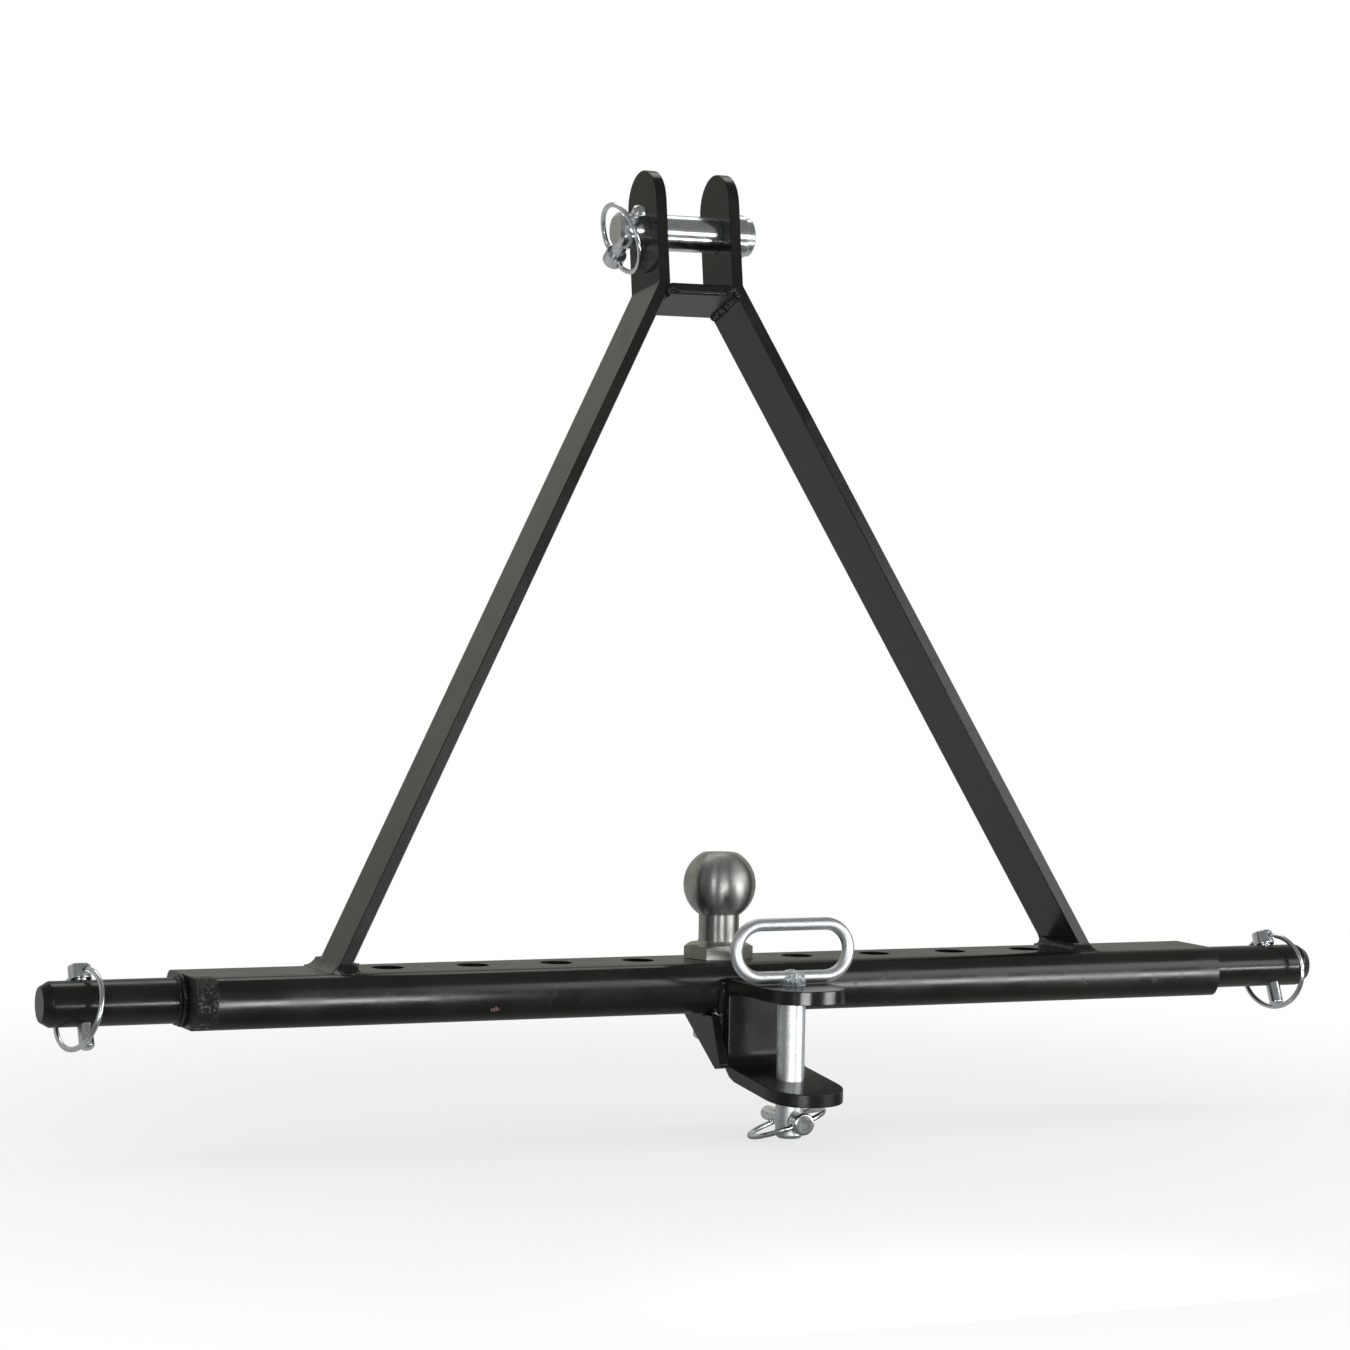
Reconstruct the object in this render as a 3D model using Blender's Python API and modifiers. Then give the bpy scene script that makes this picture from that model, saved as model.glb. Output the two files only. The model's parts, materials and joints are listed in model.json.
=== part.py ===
"""Tractor drawbar: a drilled bar with an A-frame, a tow ball and a clevis jaw.

Metres, +Z up, +X along the bar to the right, +Y towards the tractor. The origin is on the lower
link pins' axis, midway along the bar.
"""

import math
from typing import NamedTuple

import bmesh
import bpy
from mathutils import Matrix, Vector

# Clearances
GAP = 0.0003
RUNNING_CLEARANCE = 0.0003
OVERCUT = 0.001

# Cross bar
BAR_LENGTH = 0.768
BAR_DEPTH = 0.072
BAR_HEIGHT = 0.035
BAR_EDGE_DEPTH = 0.013
BAR_EDGE_POWER = 2.4
BAR_HOLE_DIAMETER = 0.022
BAR_HOLE_PITCH = 0.0605
BAR_HOLE_COUNT = 9

# Lower link pins
LINK_PIN_DIAMETER = 0.030
LINK_PIN_LENGTH = 0.094
LINK_PIN_CHAMFER = 0.0035
LINK_PIN_CHAMFER_LENGTH = 0.006
LINK_PIN_WELD_HEIGHT = 0.0022
LINK_PIN_WELD_LENGTH = 0.005
LINK_PEG_FROM_END = 0.0285
LINK_PEG_LEAN = math.radians(24)
LINK_PEG_TURN = math.radians(20)

# Linchpins: a peg with a drum head, and a sprung wire ring hinged in the head
PEG_DIAMETER = 0.010
PEG_CHAMFER = 0.0015
PEG_HEAD_DIAMETER = 0.015
PEG_HEAD_HEIGHT = 0.0105
PEG_HEAD_CHAMFER = 0.0012
PEG_HOLE_CLEARANCE = 0.0003
RING_WIRE_DIAMETER = 0.0036
RING_SHOULDER_RADIUS = 0.016
RING_STRAIGHT = 0.005
RING_END_GAP = 0.003
RING_HOLE_CLEARANCE = 0.0006
LINK_PEG_LENGTH = 0.0565
LINK_RING_RADIUS = 0.02625
TOP_PEG_LENGTH = 0.060
TOP_RING_RADIUS = 0.0245
DROP_PEG_LENGTH = 0.060
DROP_RING_RADIUS = 0.02625

# A-frame
FRAME_LEAN = math.radians(8.6)
FRAME_SET_BACK = 0.0025
FLAT_WIDTH = 0.050
FLAT_THICKNESS = 0.008
FOOT_FROM_BAR_END = 0.100
BEND_HEIGHT = 0.4693
BEND_RADIUS = 0.004
YOKE_GAP = 0.048
TOP_PIN_ABOVE_BEND = 0.0409
EAR_CENTRE_ABOVE_PIN = 0.0185
CROSSPIECE_THICKNESS = 0.008
WELD_BEAD = 0.005
CORNER_WELD_THROAT = 0.84

# Top link pin
TOP_PIN_DIAMETER = 0.0254
TOP_PIN_FREE_END = 0.0535
TOP_PIN_CHAMFER = 0.0015
TOP_PIN_HEAD_DIAMETER = 0.031
TOP_PIN_HEAD_LENGTH = 0.012
TOP_PIN_BOSS_DIAMETER = 0.027
TOP_PIN_BOSS_LENGTH = 0.0055
TOP_PEG_FROM_END = 0.0105
TOP_PEG_LEAN = math.radians(124)
TOP_PEG_TURN = math.radians(-18)
TOP_PEG_REACH = 0.030

# Tow ball
BALL_DIAMETER = 0.050
BALL_CENTRE_HEIGHT = 0.0509
BALL_FLAT_DIAMETER = 0.0235
NECK_DIAMETER = 0.028
NECK_FILLET = 0.0025
FLANGE_ACROSS_FLATS = 0.042
FLANGE_THICKNESS = 0.010
FLANGE_TURN = math.radians(14)
SHANK_DIAMETER = 0.019
SHANK_END_CHAMFER = 0.0015
SHANK_BELOW_NUT = 0.0045
SPRING_WASHER_WIDTH = 0.0043
SPRING_WASHER_THICKNESS = 0.004
SPRING_WASHER_SLOT = 0.003
NUT_ACROSS_FLATS = 0.0286
NUT_HEIGHT = 0.0165
HEX_FACE_SHARE = 0.97
HEX_CHAMFER = math.radians(30)

# Clevis jaw
JAW_WIDTH = 0.054
JAW_OFFSET = 0.0145
JAW_REACH = 0.0957
JAW_PLATE = 0.0095
JAW_LOWER_PLATE = 0.009
JAW_TOP_HEIGHT = 0.0083
JAW_MOUTH = 0.0498
JAW_LOWER_SLOPE = math.radians(6.0)
JAW_BEND_RADIUS = 0.003
JAW_LOWER_BEND_RADIUS = 0.012
JAW_NOSE_LENGTH = 0.028
JAW_NOSE_POWER = 2.3
GUSSET_THICKNESS = 0.0062
GUSSET_CLEARANCE = 0.0004
GUSSET_LENGTH_BEHIND = 0.016
GUSSET_SLOPE = math.radians(31.5)
LEFT_GUSSET_FRONT = 0.0517
LEFT_GUSSET_TIP_RISE = 0.0020
GUSSET_TIP_RADIUS = 0.002

# Drop pin and its handle
DROP_PIN_DIAMETER = 0.019
DROP_PIN_FROM_BAR = 0.051
DROP_PIN_BELOW_PEG = 0.012
DROP_PIN_CHAMFER = 0.002
DROP_PEG_HEIGHT = -0.083
DROP_PEG_TURN = math.radians(18)
DROP_PEG_REACH = 0.0185
HANDLE_WIDTH = 0.092
HANDLE_HEIGHT = 0.044
HANDLE_ROD = 0.0085
HANDLE_SEAT_HEIGHT = 0.0007
HANDLE_WELD_LENGTH = 0.015
HANDLE_WELD_DEPTH = 0.009
HANDLE_WELD_HEIGHT = 0.010

# Facets
PIN_STEPS = 32
PEG_STEPS = 24
EYE_STEPS = 16
BALL_STEPS = 40
BALL_ROWS = 16
BEND_STEPS = 4
EAR_STEPS = 16
EDGE_STEPS = 10
NOSE_STEPS = 18
RING_STEPS = 30
SHOULDER_STEPS = 6
HANDLE_STEPS = 12
BEAD_STEPS = 3
BLOB_STEPS = 16
BLOB_ROWS = 10
SMOOTH_ANGLE = math.radians(35)

X_AXIS = Vector((1.0, 0.0, 0.0))
Y_AXIS = Vector((0.0, 1.0, 0.0))
Z_AXIS = Vector((0.0, 0.0, 1.0))

# Directions and points that several pieces share
FRAME_UP = Vector((0.0, math.sin(FRAME_LEAN), math.cos(FRAME_LEAN)))
FRAME_ACROSS = Vector((0.0, math.cos(FRAME_LEAN), -math.sin(FRAME_LEAN)))
FRAME_FOOT = Vector((0.0, FRAME_SET_BACK, BAR_HEIGHT / 2))
FOOT_OUTER = BAR_LENGTH / 2 - FOOT_FROM_BAR_END
EAR_INNER = YOKE_GAP / 2
EAR_OUTER = EAR_INNER + FLAT_THICKNESS
RAIL_SPLAY = math.atan2(FOOT_OUTER - EAR_OUTER, BEND_HEIGHT)
INNER_BEND_HEIGHT = BEND_HEIGHT - FLAT_THICKNESS * math.tan(RAIL_SPLAY / 2)
TOP_PIN_HEIGHT = BEND_HEIGHT + TOP_PIN_ABOVE_BEND
TOP_PIN_CENTRE = FRAME_FOOT + TOP_PIN_HEIGHT * FRAME_UP
JAW_BACK = -BAR_DEPTH / 2 - GAP
DROP_PIN_AXIS = Vector((JAW_OFFSET, -BAR_DEPTH / 2 - DROP_PIN_FROM_BAR, 0.0))
NUT_TOP = -BAR_HEIGHT / 2 - SPRING_WASHER_THICKNESS - 2 * GAP
SHANK_END = NUT_TOP - NUT_HEIGHT - SHANK_BELOW_NUT


def clear_scene():
    for old in list(bpy.data.objects):
        bpy.data.objects.remove(old, do_unlink=True)


def new_collection(name):
    collection = bpy.data.collections.new(name)
    bpy.context.scene.collection.children.link(collection)
    return collection


def make_material(name, colour, roughness, metallic):
    material = bpy.data.materials.new(name)
    material.use_nodes = True
    shader = material.node_tree.nodes["Principled BSDF"]
    shader.inputs["Base Color"].default_value = (*colour, 1.0)
    shader.inputs["Roughness"].default_value = roughness
    shader.inputs["Metallic"].default_value = metallic
    return material


def standing(origin, z_axis, x_axis):
    """Matrix that stands a piece at origin, its own Z and X along the given directions."""
    z_axis = Vector(z_axis).normalized()
    x_axis = Vector(x_axis).normalized()
    rotation = Matrix((x_axis, z_axis.cross(x_axis), z_axis)).transposed()
    return Matrix.Translation(origin) @ rotation.to_4x4()


def across_bar(x):
    """Place for an outline drawn in (y, z), extruded along the bar's length about x."""
    return standing((x, 0.0, 0.0), X_AXIS, Y_AXIS)


def rounded_outline(corners, steps=BEND_STEPS):
    """Closed outline through corners (x, y, radius), each radius drawn as an arc."""
    points = []
    for index, (x, y, radius) in enumerate(corners):
        corner = Vector((x, y))
        if radius == 0.0:
            points.append(corner)
            continue
        before = (Vector(corners[index - 1][:2]) - corner).normalized()
        after = (Vector(corners[(index + 1) % len(corners)][:2]) - corner).normalized()
        half = before.angle(after) / 2
        centre = corner + (before + after).normalized() * (radius / math.sin(half))
        start = corner + before * (radius / math.tan(half)) - centre
        end = corner + after * (radius / math.tan(half)) - centre
        turn = math.atan2(start.x * end.y - start.y * end.x, start.dot(end))
        for step in range(steps + 1):
            spoke = Matrix.Rotation(turn * step / steps, 2) @ start
            points.append(centre + spoke)
    return [(point.x, point.y) for point in points]


def superellipse_arc(half_width, half_height, power, start, end, steps):
    """Points of a superellipse between two angles."""
    points = []
    for step in range(steps + 1):
        angle = start + (end - start) * step / steps
        across = math.copysign(abs(math.cos(angle)) ** (2 / power), math.cos(angle))
        up = math.copysign(abs(math.sin(angle)) ** (2 / power), math.sin(angle))
        points.append((half_width * across, half_height * up))
    return points


class Workshop:
    """Makes solids in the part's collection and cutters in their own."""

    def __init__(self):
        self.parts = new_collection("Tractor drawbar")
        self.cutters = new_collection("Cutters")
        self.paint = make_material("Black gloss paint", (0.022, 0.021, 0.019), 0.28, 0.0)
        self.weld = make_material("Painted weld", (0.028, 0.027, 0.025), 0.22, 0.0)
        self.zinc = make_material("Bright zinc plate", (0.68, 0.70, 0.72), 0.22, 1.0)
        self.steel = make_material("Turned steel", (0.46, 0.46, 0.45), 0.30, 1.0)

    def add(self, name, data, place, material=None):
        """A piece when it has a material, otherwise a cutter."""
        solid = bpy.data.objects.new(name, data)
        solid.matrix_world = place
        if material is None:
            solid.hide_render = True
            solid.display_type = "WIRE"
            self.cutters.objects.link(solid)
        else:
            data.materials.append(material)
            self.parts.objects.link(solid)
        return solid

    def turned(self, name, profile, place, material=None, steps=PIN_STEPS, hollow=False):
        """Profile of (radius, height) points, top to bottom, turned about its own Z."""
        edges = [(index, index + 1) for index in range(len(profile) - 1)]
        if hollow:
            edges.append((len(profile) - 1, 0))
        outline = bpy.data.meshes.new(name)
        outline.from_pydata([(radius, 0.0, height) for radius, height in profile], edges, [])
        guide = bpy.data.objects.new(name, outline)
        screw = guide.modifiers.new("Turn", "SCREW")
        screw.axis = "Z"
        screw.steps = steps
        screw.render_steps = steps
        screw.use_merge_vertices = True
        screw.merge_threshold = 0.00001
        solid = self.add(name, self.mesh_of(guide), place, material)
        self.smooth(solid)
        return solid

    def cylinder(self, name, diameter, length, place, steps=PIN_STEPS):
        """Round cutter centred on its place."""
        shape = bmesh.new()
        bmesh.ops.create_cone(
            shape,
            cap_ends=True,
            segments=steps,
            radius1=diameter / 2,
            radius2=diameter / 2,
            depth=length,
        )
        mesh = bpy.data.meshes.new(name)
        shape.to_mesh(mesh)
        shape.free()
        return self.add(name, mesh, place)

    def box(self, name, size, place, material=None):
        shape = bmesh.new()
        bmesh.ops.create_cube(shape, size=1.0)
        bmesh.ops.scale(shape, vec=size, verts=shape.verts)
        mesh = bpy.data.meshes.new(name)
        shape.to_mesh(mesh)
        shape.free()
        return self.add(name, mesh, place, material)

    def plate(self, name, outline, thickness, place, material=None):
        """Flat outline, extruded half its thickness each way along its own Z."""
        curve = bpy.data.curves.new(name, "CURVE")
        curve.dimensions = "2D"
        curve.fill_mode = "BOTH"
        curve.extrude = thickness / 2
        self.draw(curve, outline, cyclic=True)
        mesh = self.mesh_of(bpy.data.objects.new(name, curve))
        return self.add(name, mesh, place, material)

    def rod(self, name, path, diameter, place, material, cyclic=False):
        """Round rod or wire along a path in its own XY plane."""
        curve = bpy.data.curves.new(name, "CURVE")
        curve.dimensions = "3D"
        curve.bevel_depth = diameter / 2
        curve.bevel_resolution = 2
        curve.use_fill_caps = True
        self.draw(curve, path, cyclic)
        mesh = self.mesh_of(bpy.data.objects.new(name, curve))
        rod = self.add(name, mesh, place, material)
        self.smooth(rod)
        return rod

    @staticmethod
    def draw(curve, path, cyclic):
        spline = curve.splines.new("POLY")
        spline.points.add(len(path) - 1)
        for point, (x, y) in zip(spline.points, path):
            point.co = (x, y, 0.0, 1.0)
        spline.use_cyclic_u = cyclic

    @staticmethod
    def mesh_of(guide):
        """Closed mesh of a curve or a turned profile, which is then removed."""
        name = guide.name
        bpy.context.scene.collection.objects.link(guide)
        graph = bpy.context.evaluated_depsgraph_get()
        mesh = bpy.data.meshes.new_from_object(guide.evaluated_get(graph))
        bpy.data.objects.remove(guide, do_unlink=True)
        mesh.name = name
        shape = bmesh.new()
        shape.from_mesh(mesh)
        bmesh.ops.remove_doubles(shape, verts=shape.verts, dist=0.00001)
        bmesh.ops.recalc_face_normals(shape, faces=shape.faces)
        shape.to_mesh(mesh)
        shape.free()
        return mesh

    @staticmethod
    def combine(target, tool, operation="DIFFERENCE"):
        boolean = target.modifiers.new(tool.name, "BOOLEAN")
        boolean.operation = operation
        boolean.object = tool
        return boolean

    @staticmethod
    def smooth(solid):
        solid.data.shade_smooth()
        solid.data.set_sharp_from_angle(angle=SMOOTH_ANGLE)

    def joint_axis(self, name, place):
        empty = bpy.data.objects.new(name, None)
        empty.matrix_world = place
        empty.empty_display_size = 0.03
        self.parts.objects.link(empty)
        return empty

    @staticmethod
    def carry(piece, empty):
        """Parent a piece to its joint's empty without moving it."""
        piece.parent = empty
        piece.matrix_parent_inverse = empty.matrix_basis.inverted()


def make_cross_bar(shop):
    """Bar with a flat top, bulging front and rear faces, and a row of holes."""
    flat = BAR_DEPTH / 2 - BAR_EDGE_DEPTH
    quarter = math.pi / 2
    bulge = superellipse_arc(
        BAR_EDGE_DEPTH, BAR_HEIGHT / 2, BAR_EDGE_POWER, -quarter, quarter, EDGE_STEPS
    )
    rear = [(flat + out, up) for out, up in bulge]
    front = [(-y, up) for y, up in reversed(rear)]
    bar = shop.plate("cross_bar", rear + front, BAR_LENGTH, across_bar(0.0), shop.paint)
    row_start = -BAR_HOLE_PITCH * (BAR_HOLE_COUNT - 1) / 2
    drill = shop.cylinder(
        "bar_holes", BAR_HOLE_DIAMETER, 2 * BAR_HEIGHT, Matrix.Translation((row_start, 0.0, 0.0))
    )
    row = drill.modifiers.new("Row", "ARRAY")
    row.count = BAR_HOLE_COUNT
    row.use_relative_offset = False
    row.use_constant_offset = True
    row.constant_offset_displace = (BAR_HOLE_PITCH, 0.0, 0.0)
    shop.combine(bar, drill)


def bead_ring(shop, name, radius, height, length, place):
    """Weld bead round a pin's root: a quarter-round profile in the corner with the bar's end."""
    inner = radius + GAP
    profile = []
    for step in range(BEAD_STEPS + 1):
        angle = math.pi / 2 * step / BEAD_STEPS
        across = inner + height * math.sin(angle)
        profile.append((across, GAP + (length - GAP) * math.cos(angle)))
    profile.append((inner, GAP))
    return shop.turned(name, profile, place, shop.weld, hollow=True)


def make_link_pins(shop):
    """Pins welded on the bar's ends, each drilled for its linchpin."""
    radius = LINK_PIN_DIAMETER / 2
    profile = [
        (0.0, LINK_PIN_LENGTH),
        (radius - LINK_PIN_CHAMFER, LINK_PIN_LENGTH),
        (radius, LINK_PIN_LENGTH - LINK_PIN_CHAMFER_LENGTH),
        (radius, GAP),
        (0.0, GAP),
    ]
    for side, name in ((-1, "left"), (1, "right")):
        outward = side * X_AXIS
        place = standing(outward * BAR_LENGTH / 2, outward, Y_AXIS)
        pin = shop.turned(f"{name}_link_pin", profile, place, shop.paint)
        bead_ring(
            shop,
            f"{name}_pin_weld",
            radius,
            LINK_PIN_WELD_HEIGHT,
            LINK_PIN_WELD_LENGTH,
            place,
        )
        crossing = outward * (BAR_LENGTH / 2 + LINK_PIN_LENGTH - LINK_PEG_FROM_END)
        upward = Vector((0.0, math.sin(LINK_PEG_LEAN), math.cos(LINK_PEG_LEAN)))
        reach = radius + GAP + PEG_HEAD_HEIGHT / 2
        fit = PegFit(reach, LINK_PEG_LENGTH, LINK_PEG_TURN, LINK_RING_RADIUS)
        linchpin(shop, name, pin, crossing, upward, outward, fit)


def ring_path(radius):
    """Open ring below its hinge line: straight ends, round shoulders and one large bow."""
    shoulder = RING_SHOULDER_RADIUS
    drop = shoulder + math.sqrt((radius - shoulder) ** 2 - RING_STRAIGHT**2)
    meet = math.atan2(drop - shoulder, RING_STRAIGHT)
    side = [(RING_END_GAP / 2, 0.0), (RING_STRAIGHT, 0.0)]
    for step in range(1, SHOULDER_STEPS + 1):
        angle = math.pi / 2 + (meet - math.pi / 2) * step / SHOULDER_STEPS
        x = RING_STRAIGHT + shoulder * math.cos(angle)
        side.append((x, shoulder * (math.sin(angle) - 1.0)))
    bow_steps = RING_STEPS // 2
    for step in range(1, bow_steps + 1):
        angle = meet - (meet + math.pi / 2) * step / bow_steps
        side.append((radius * math.cos(angle), radius * math.sin(angle) - drop))
    other = [(-x, y) for x, y in reversed(side[:-1])]
    return side + other, drop + radius


class PegFit(NamedTuple):
    """How one linchpin sits: its lengths, its turn in the hole and its ring's radius."""

    reach: float
    length: float
    turn: float
    ring_radius: float


def linchpin(shop, name, pin, crossing, head_way, end_way, fit, carrier=None):
    """Peg through a pin and its ring, which hangs in the head and springs round the pin's end.

    crossing is on the pin's axis, head_way points to the head and end_way to the pin's free end.
    """
    hole_place = standing(crossing, head_way, end_way)
    hole = shop.cylinder(
        f"{name}_peg_hole",
        PEG_DIAMETER + 2 * PEG_HOLE_CLEARANCE,
        2 * fit.length,
        hole_place,
        PEG_STEPS,
    )
    shop.combine(pin, hole)

    outward = math.cos(fit.turn) * end_way + math.sin(fit.turn) * head_way.cross(end_way)
    hinge_way = head_way.cross(outward)
    radius = PEG_DIAMETER / 2
    head = PEG_HEAD_DIAMETER / 2
    head_top = fit.reach + PEG_HEAD_HEIGHT / 2
    head_bottom = fit.reach - PEG_HEAD_HEIGHT / 2
    tip = fit.reach - fit.length
    profile = [
        (0.0, head_top),
        (head - PEG_HEAD_CHAMFER, head_top),
        (head, head_top - PEG_HEAD_CHAMFER),
        (head, head_bottom + PEG_HEAD_CHAMFER),
        (head - PEG_HEAD_CHAMFER, head_bottom),
        (radius, head_bottom),
        (radius, tip + PEG_CHAMFER),
        (radius - PEG_CHAMFER, tip),
        (0.0, tip),
    ]
    place = standing(crossing, head_way, hinge_way)
    peg = shop.turned(f"{name}_linch_peg", profile, place, shop.zinc, PEG_STEPS)
    hinge = crossing + fit.reach * head_way
    eye = shop.cylinder(
        f"{name}_ring_hole",
        RING_WIRE_DIAMETER + 2 * RING_HOLE_CLEARANCE,
        2 * PEG_HEAD_DIAMETER,
        standing(hinge, hinge_way, head_way),
        EYE_STEPS,
    )
    shop.combine(peg, eye)

    path, drop = ring_path(fit.ring_radius)
    lean = math.asin((radius + RING_WIRE_DIAMETER / 2 + GAP) / drop)
    towards_bow = -math.cos(lean) * head_way + math.sin(lean) * outward
    ring_place = standing(hinge, hinge_way.cross(-towards_bow), hinge_way)
    ring = shop.rod(f"{name}_linch_ring", path, RING_WIRE_DIAMETER, ring_place, shop.zinc)
    if carrier is not None:
        shop.carry(peg, carrier)
        shop.carry(ring, carrier)


def rail_inner_face(height):
    """Distance from the middle plane to an arm's inner face, at a height along the A-frame."""
    return EAR_INNER + (INNER_BEND_HEIGHT - height) * math.tan(RAIL_SPLAY)


def rail_outline(side):
    """Front outline of one rail: an inclined arm, a bend and an upright ear."""
    below = FLAT_WIDTH * math.tan(FRAME_LEAN)
    above = TOP_PIN_HEIGHT + EAR_CENTRE_ABOVE_PIN + FLAT_WIDTH
    corners = [
        (side * (FOOT_OUTER + below * math.tan(RAIL_SPLAY)), -below, 0.0),
        (side * EAR_OUTER, BEND_HEIGHT, BEND_RADIUS),
        (side * EAR_OUTER, above, 0.0),
        (side * EAR_INNER, above, 0.0),
        (side * EAR_INNER, INNER_BEND_HEIGHT, BEND_RADIUS + FLAT_THICKNESS),
        (side * rail_inner_face(-below), -below, 0.0),
    ]
    return rounded_outline(corners)


def frame_side_outline():
    """Side outline of both rails in (y, z): level feet, parallel edges and a round top."""
    level = BAR_HEIGHT / 2 + GAP
    half = FLAT_WIDTH / 2
    outline = []
    for across in (-half, half):
        start = FRAME_FOOT + across * FRAME_ACROSS
        along = (level - start.z) / FRAME_UP.z
        foot = start + along * FRAME_UP
        outline.append((foot.y, foot.z))
    centre = TOP_PIN_CENTRE + EAR_CENTRE_ABOVE_PIN * FRAME_UP
    for step in range(EAR_STEPS + 1):
        angle = math.pi * step / EAR_STEPS
        point = centre + half * (math.cos(angle) * FRAME_ACROSS + math.sin(angle) * FRAME_UP)
        outline.append((point.y, point.z))
    return outline


def make_side_rails(shop):
    """Two bent flat bars: arms below, ears for the top link pin above."""
    place = standing(FRAME_FOOT, -FRAME_ACROSS, X_AXIS)
    side_shape = shop.plate(
        "frame_side_shape", frame_side_outline(), 3 * FOOT_OUTER, across_bar(0.0)
    )
    pin_hole = shop.cylinder(
        "top_pin_hole",
        TOP_PIN_DIAMETER + 2 * RUNNING_CLEARANCE,
        2 * YOKE_GAP,
        standing(TOP_PIN_CENTRE, X_AXIS, Y_AXIS),
    )
    for side, name in ((-1, "left"), (1, "right")):
        rail = shop.plate(
            f"{name}_side_rail", rail_outline(side), 1.5 * FLAT_WIDTH, place, shop.paint
        )
        shop.combine(rail, side_shape, "INTERSECT")
        shop.combine(rail, pin_hole)
        make_foot_weld(shop, name, side)


def make_foot_weld(shop, name, side):
    """Round bead in the corner between a rail's foot and the bar's top."""
    radius = WELD_BEAD / 2
    height = GAP + radius
    away = radius + GAP

    def corner(end, face):
        """Corner of the bead's loop, where the leaning rail passes through its level."""
        across = end * (FLAT_WIDTH / 2 + away)
        along = (height + across * math.sin(FRAME_LEAN)) / math.cos(FRAME_LEAN)
        outer = FOOT_OUTER - along * math.tan(RAIL_SPLAY)
        thickness = FLAT_THICKNESS / math.cos(RAIL_SPLAY)
        x = outer - thickness / 2 + face * (thickness / 2 + away / math.cos(RAIL_SPLAY))
        y = FRAME_SET_BACK + across * math.cos(FRAME_LEAN) + along * math.sin(FRAME_LEAN)
        return (side * x, y, away)

    loop = rounded_outline([corner(-1, -1), corner(-1, 1), corner(1, 1), corner(1, -1)])
    place = Matrix.Translation((0.0, 0.0, BAR_HEIGHT / 2 + height))
    shop.rod(f"{name}_foot_weld", loop, WELD_BEAD, place, shop.weld, cyclic=True)


def make_top_crosspiece(shop):
    """Plate between the rails at their bends, with a bead under each end."""
    top = BEND_HEIGHT + GAP
    middle = top - CROSSPIECE_THICKNESS / 2
    place = standing(FRAME_FOOT + middle * FRAME_UP, FRAME_UP, X_AXIS)
    size = (YOKE_GAP - 2 * GAP, FLAT_WIDTH, CROSSPIECE_THICKNESS)
    shop.box("top_crosspiece", size, place, shop.paint)
    upper = top - CROSSPIECE_THICKNESS - GAP
    lower = upper - WELD_BEAD
    clear = GAP / math.cos(RAIL_SPLAY)
    bead_place = standing(FRAME_FOOT, -FRAME_ACROSS, X_AXIS)
    for side, name in ((-1, "left"), (1, "right")):
        corner = Vector((side * (rail_inner_face(upper) - clear), upper))
        down = Vector((side * (rail_inner_face(lower) - clear), lower))
        along = corner - Vector((side * WELD_BEAD, 0.0))
        throat = corner.lerp((down + along) / 2, CORNER_WELD_THROAT)
        outline = [(point.x, point.y) for point in (corner, down, throat, along)]
        shop.plate(
            f"{name}_crosspiece_weld", outline, FLAT_WIDTH - WELD_BEAD, bead_place, shop.weld
        )


def make_top_link_pin(shop):
    """Pin through the ears with a stepped head at its right end; it turns in the ears."""
    radius = TOP_PIN_DIAMETER / 2
    head = TOP_PIN_HEAD_DIAMETER / 2
    boss = TOP_PIN_BOSS_DIAMETER / 2
    seat = -(EAR_OUTER + RUNNING_CLEARANCE)
    shoulder = seat - TOP_PIN_HEAD_LENGTH
    end = shoulder - TOP_PIN_BOSS_LENGTH
    profile = [
        (0.0, TOP_PIN_FREE_END),
        (radius - TOP_PIN_CHAMFER, TOP_PIN_FREE_END),
        (radius, TOP_PIN_FREE_END - TOP_PIN_CHAMFER),
        (radius, seat),
        (head, seat),
        (head, shoulder),
        (boss, shoulder),
        (boss, end + TOP_PIN_CHAMFER),
        (boss - TOP_PIN_CHAMFER, end),
        (0.0, end),
    ]
    place = standing(TOP_PIN_CENTRE, -X_AXIS, Y_AXIS)
    axis = shop.joint_axis("top_pin_axis", place)
    pin = shop.turned("top_link_pin", profile, place, shop.zinc)
    shop.carry(pin, axis)
    crossing = TOP_PIN_CENTRE - X_AXIS * (TOP_PIN_FREE_END - TOP_PEG_FROM_END)
    head_way = Vector((0.0, math.sin(TOP_PEG_LEAN), math.cos(TOP_PEG_LEAN)))
    fit = PegFit(TOP_PEG_REACH, TOP_PEG_LENGTH, TOP_PEG_TURN, TOP_RING_RADIUS)
    linchpin(shop, "top", pin, crossing, head_way, -X_AXIS, fit, axis)


def hexagon(across_flats, turn):
    """Corners of a hexagon with one flat's normal at the given angle."""
    corner = across_flats / 2 / math.cos(math.pi / 6)
    angles = [turn + math.pi / 6 + math.pi / 3 * index for index in range(6)]
    return [(corner * math.cos(angle), corner * math.sin(angle)) for angle in angles]


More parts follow.
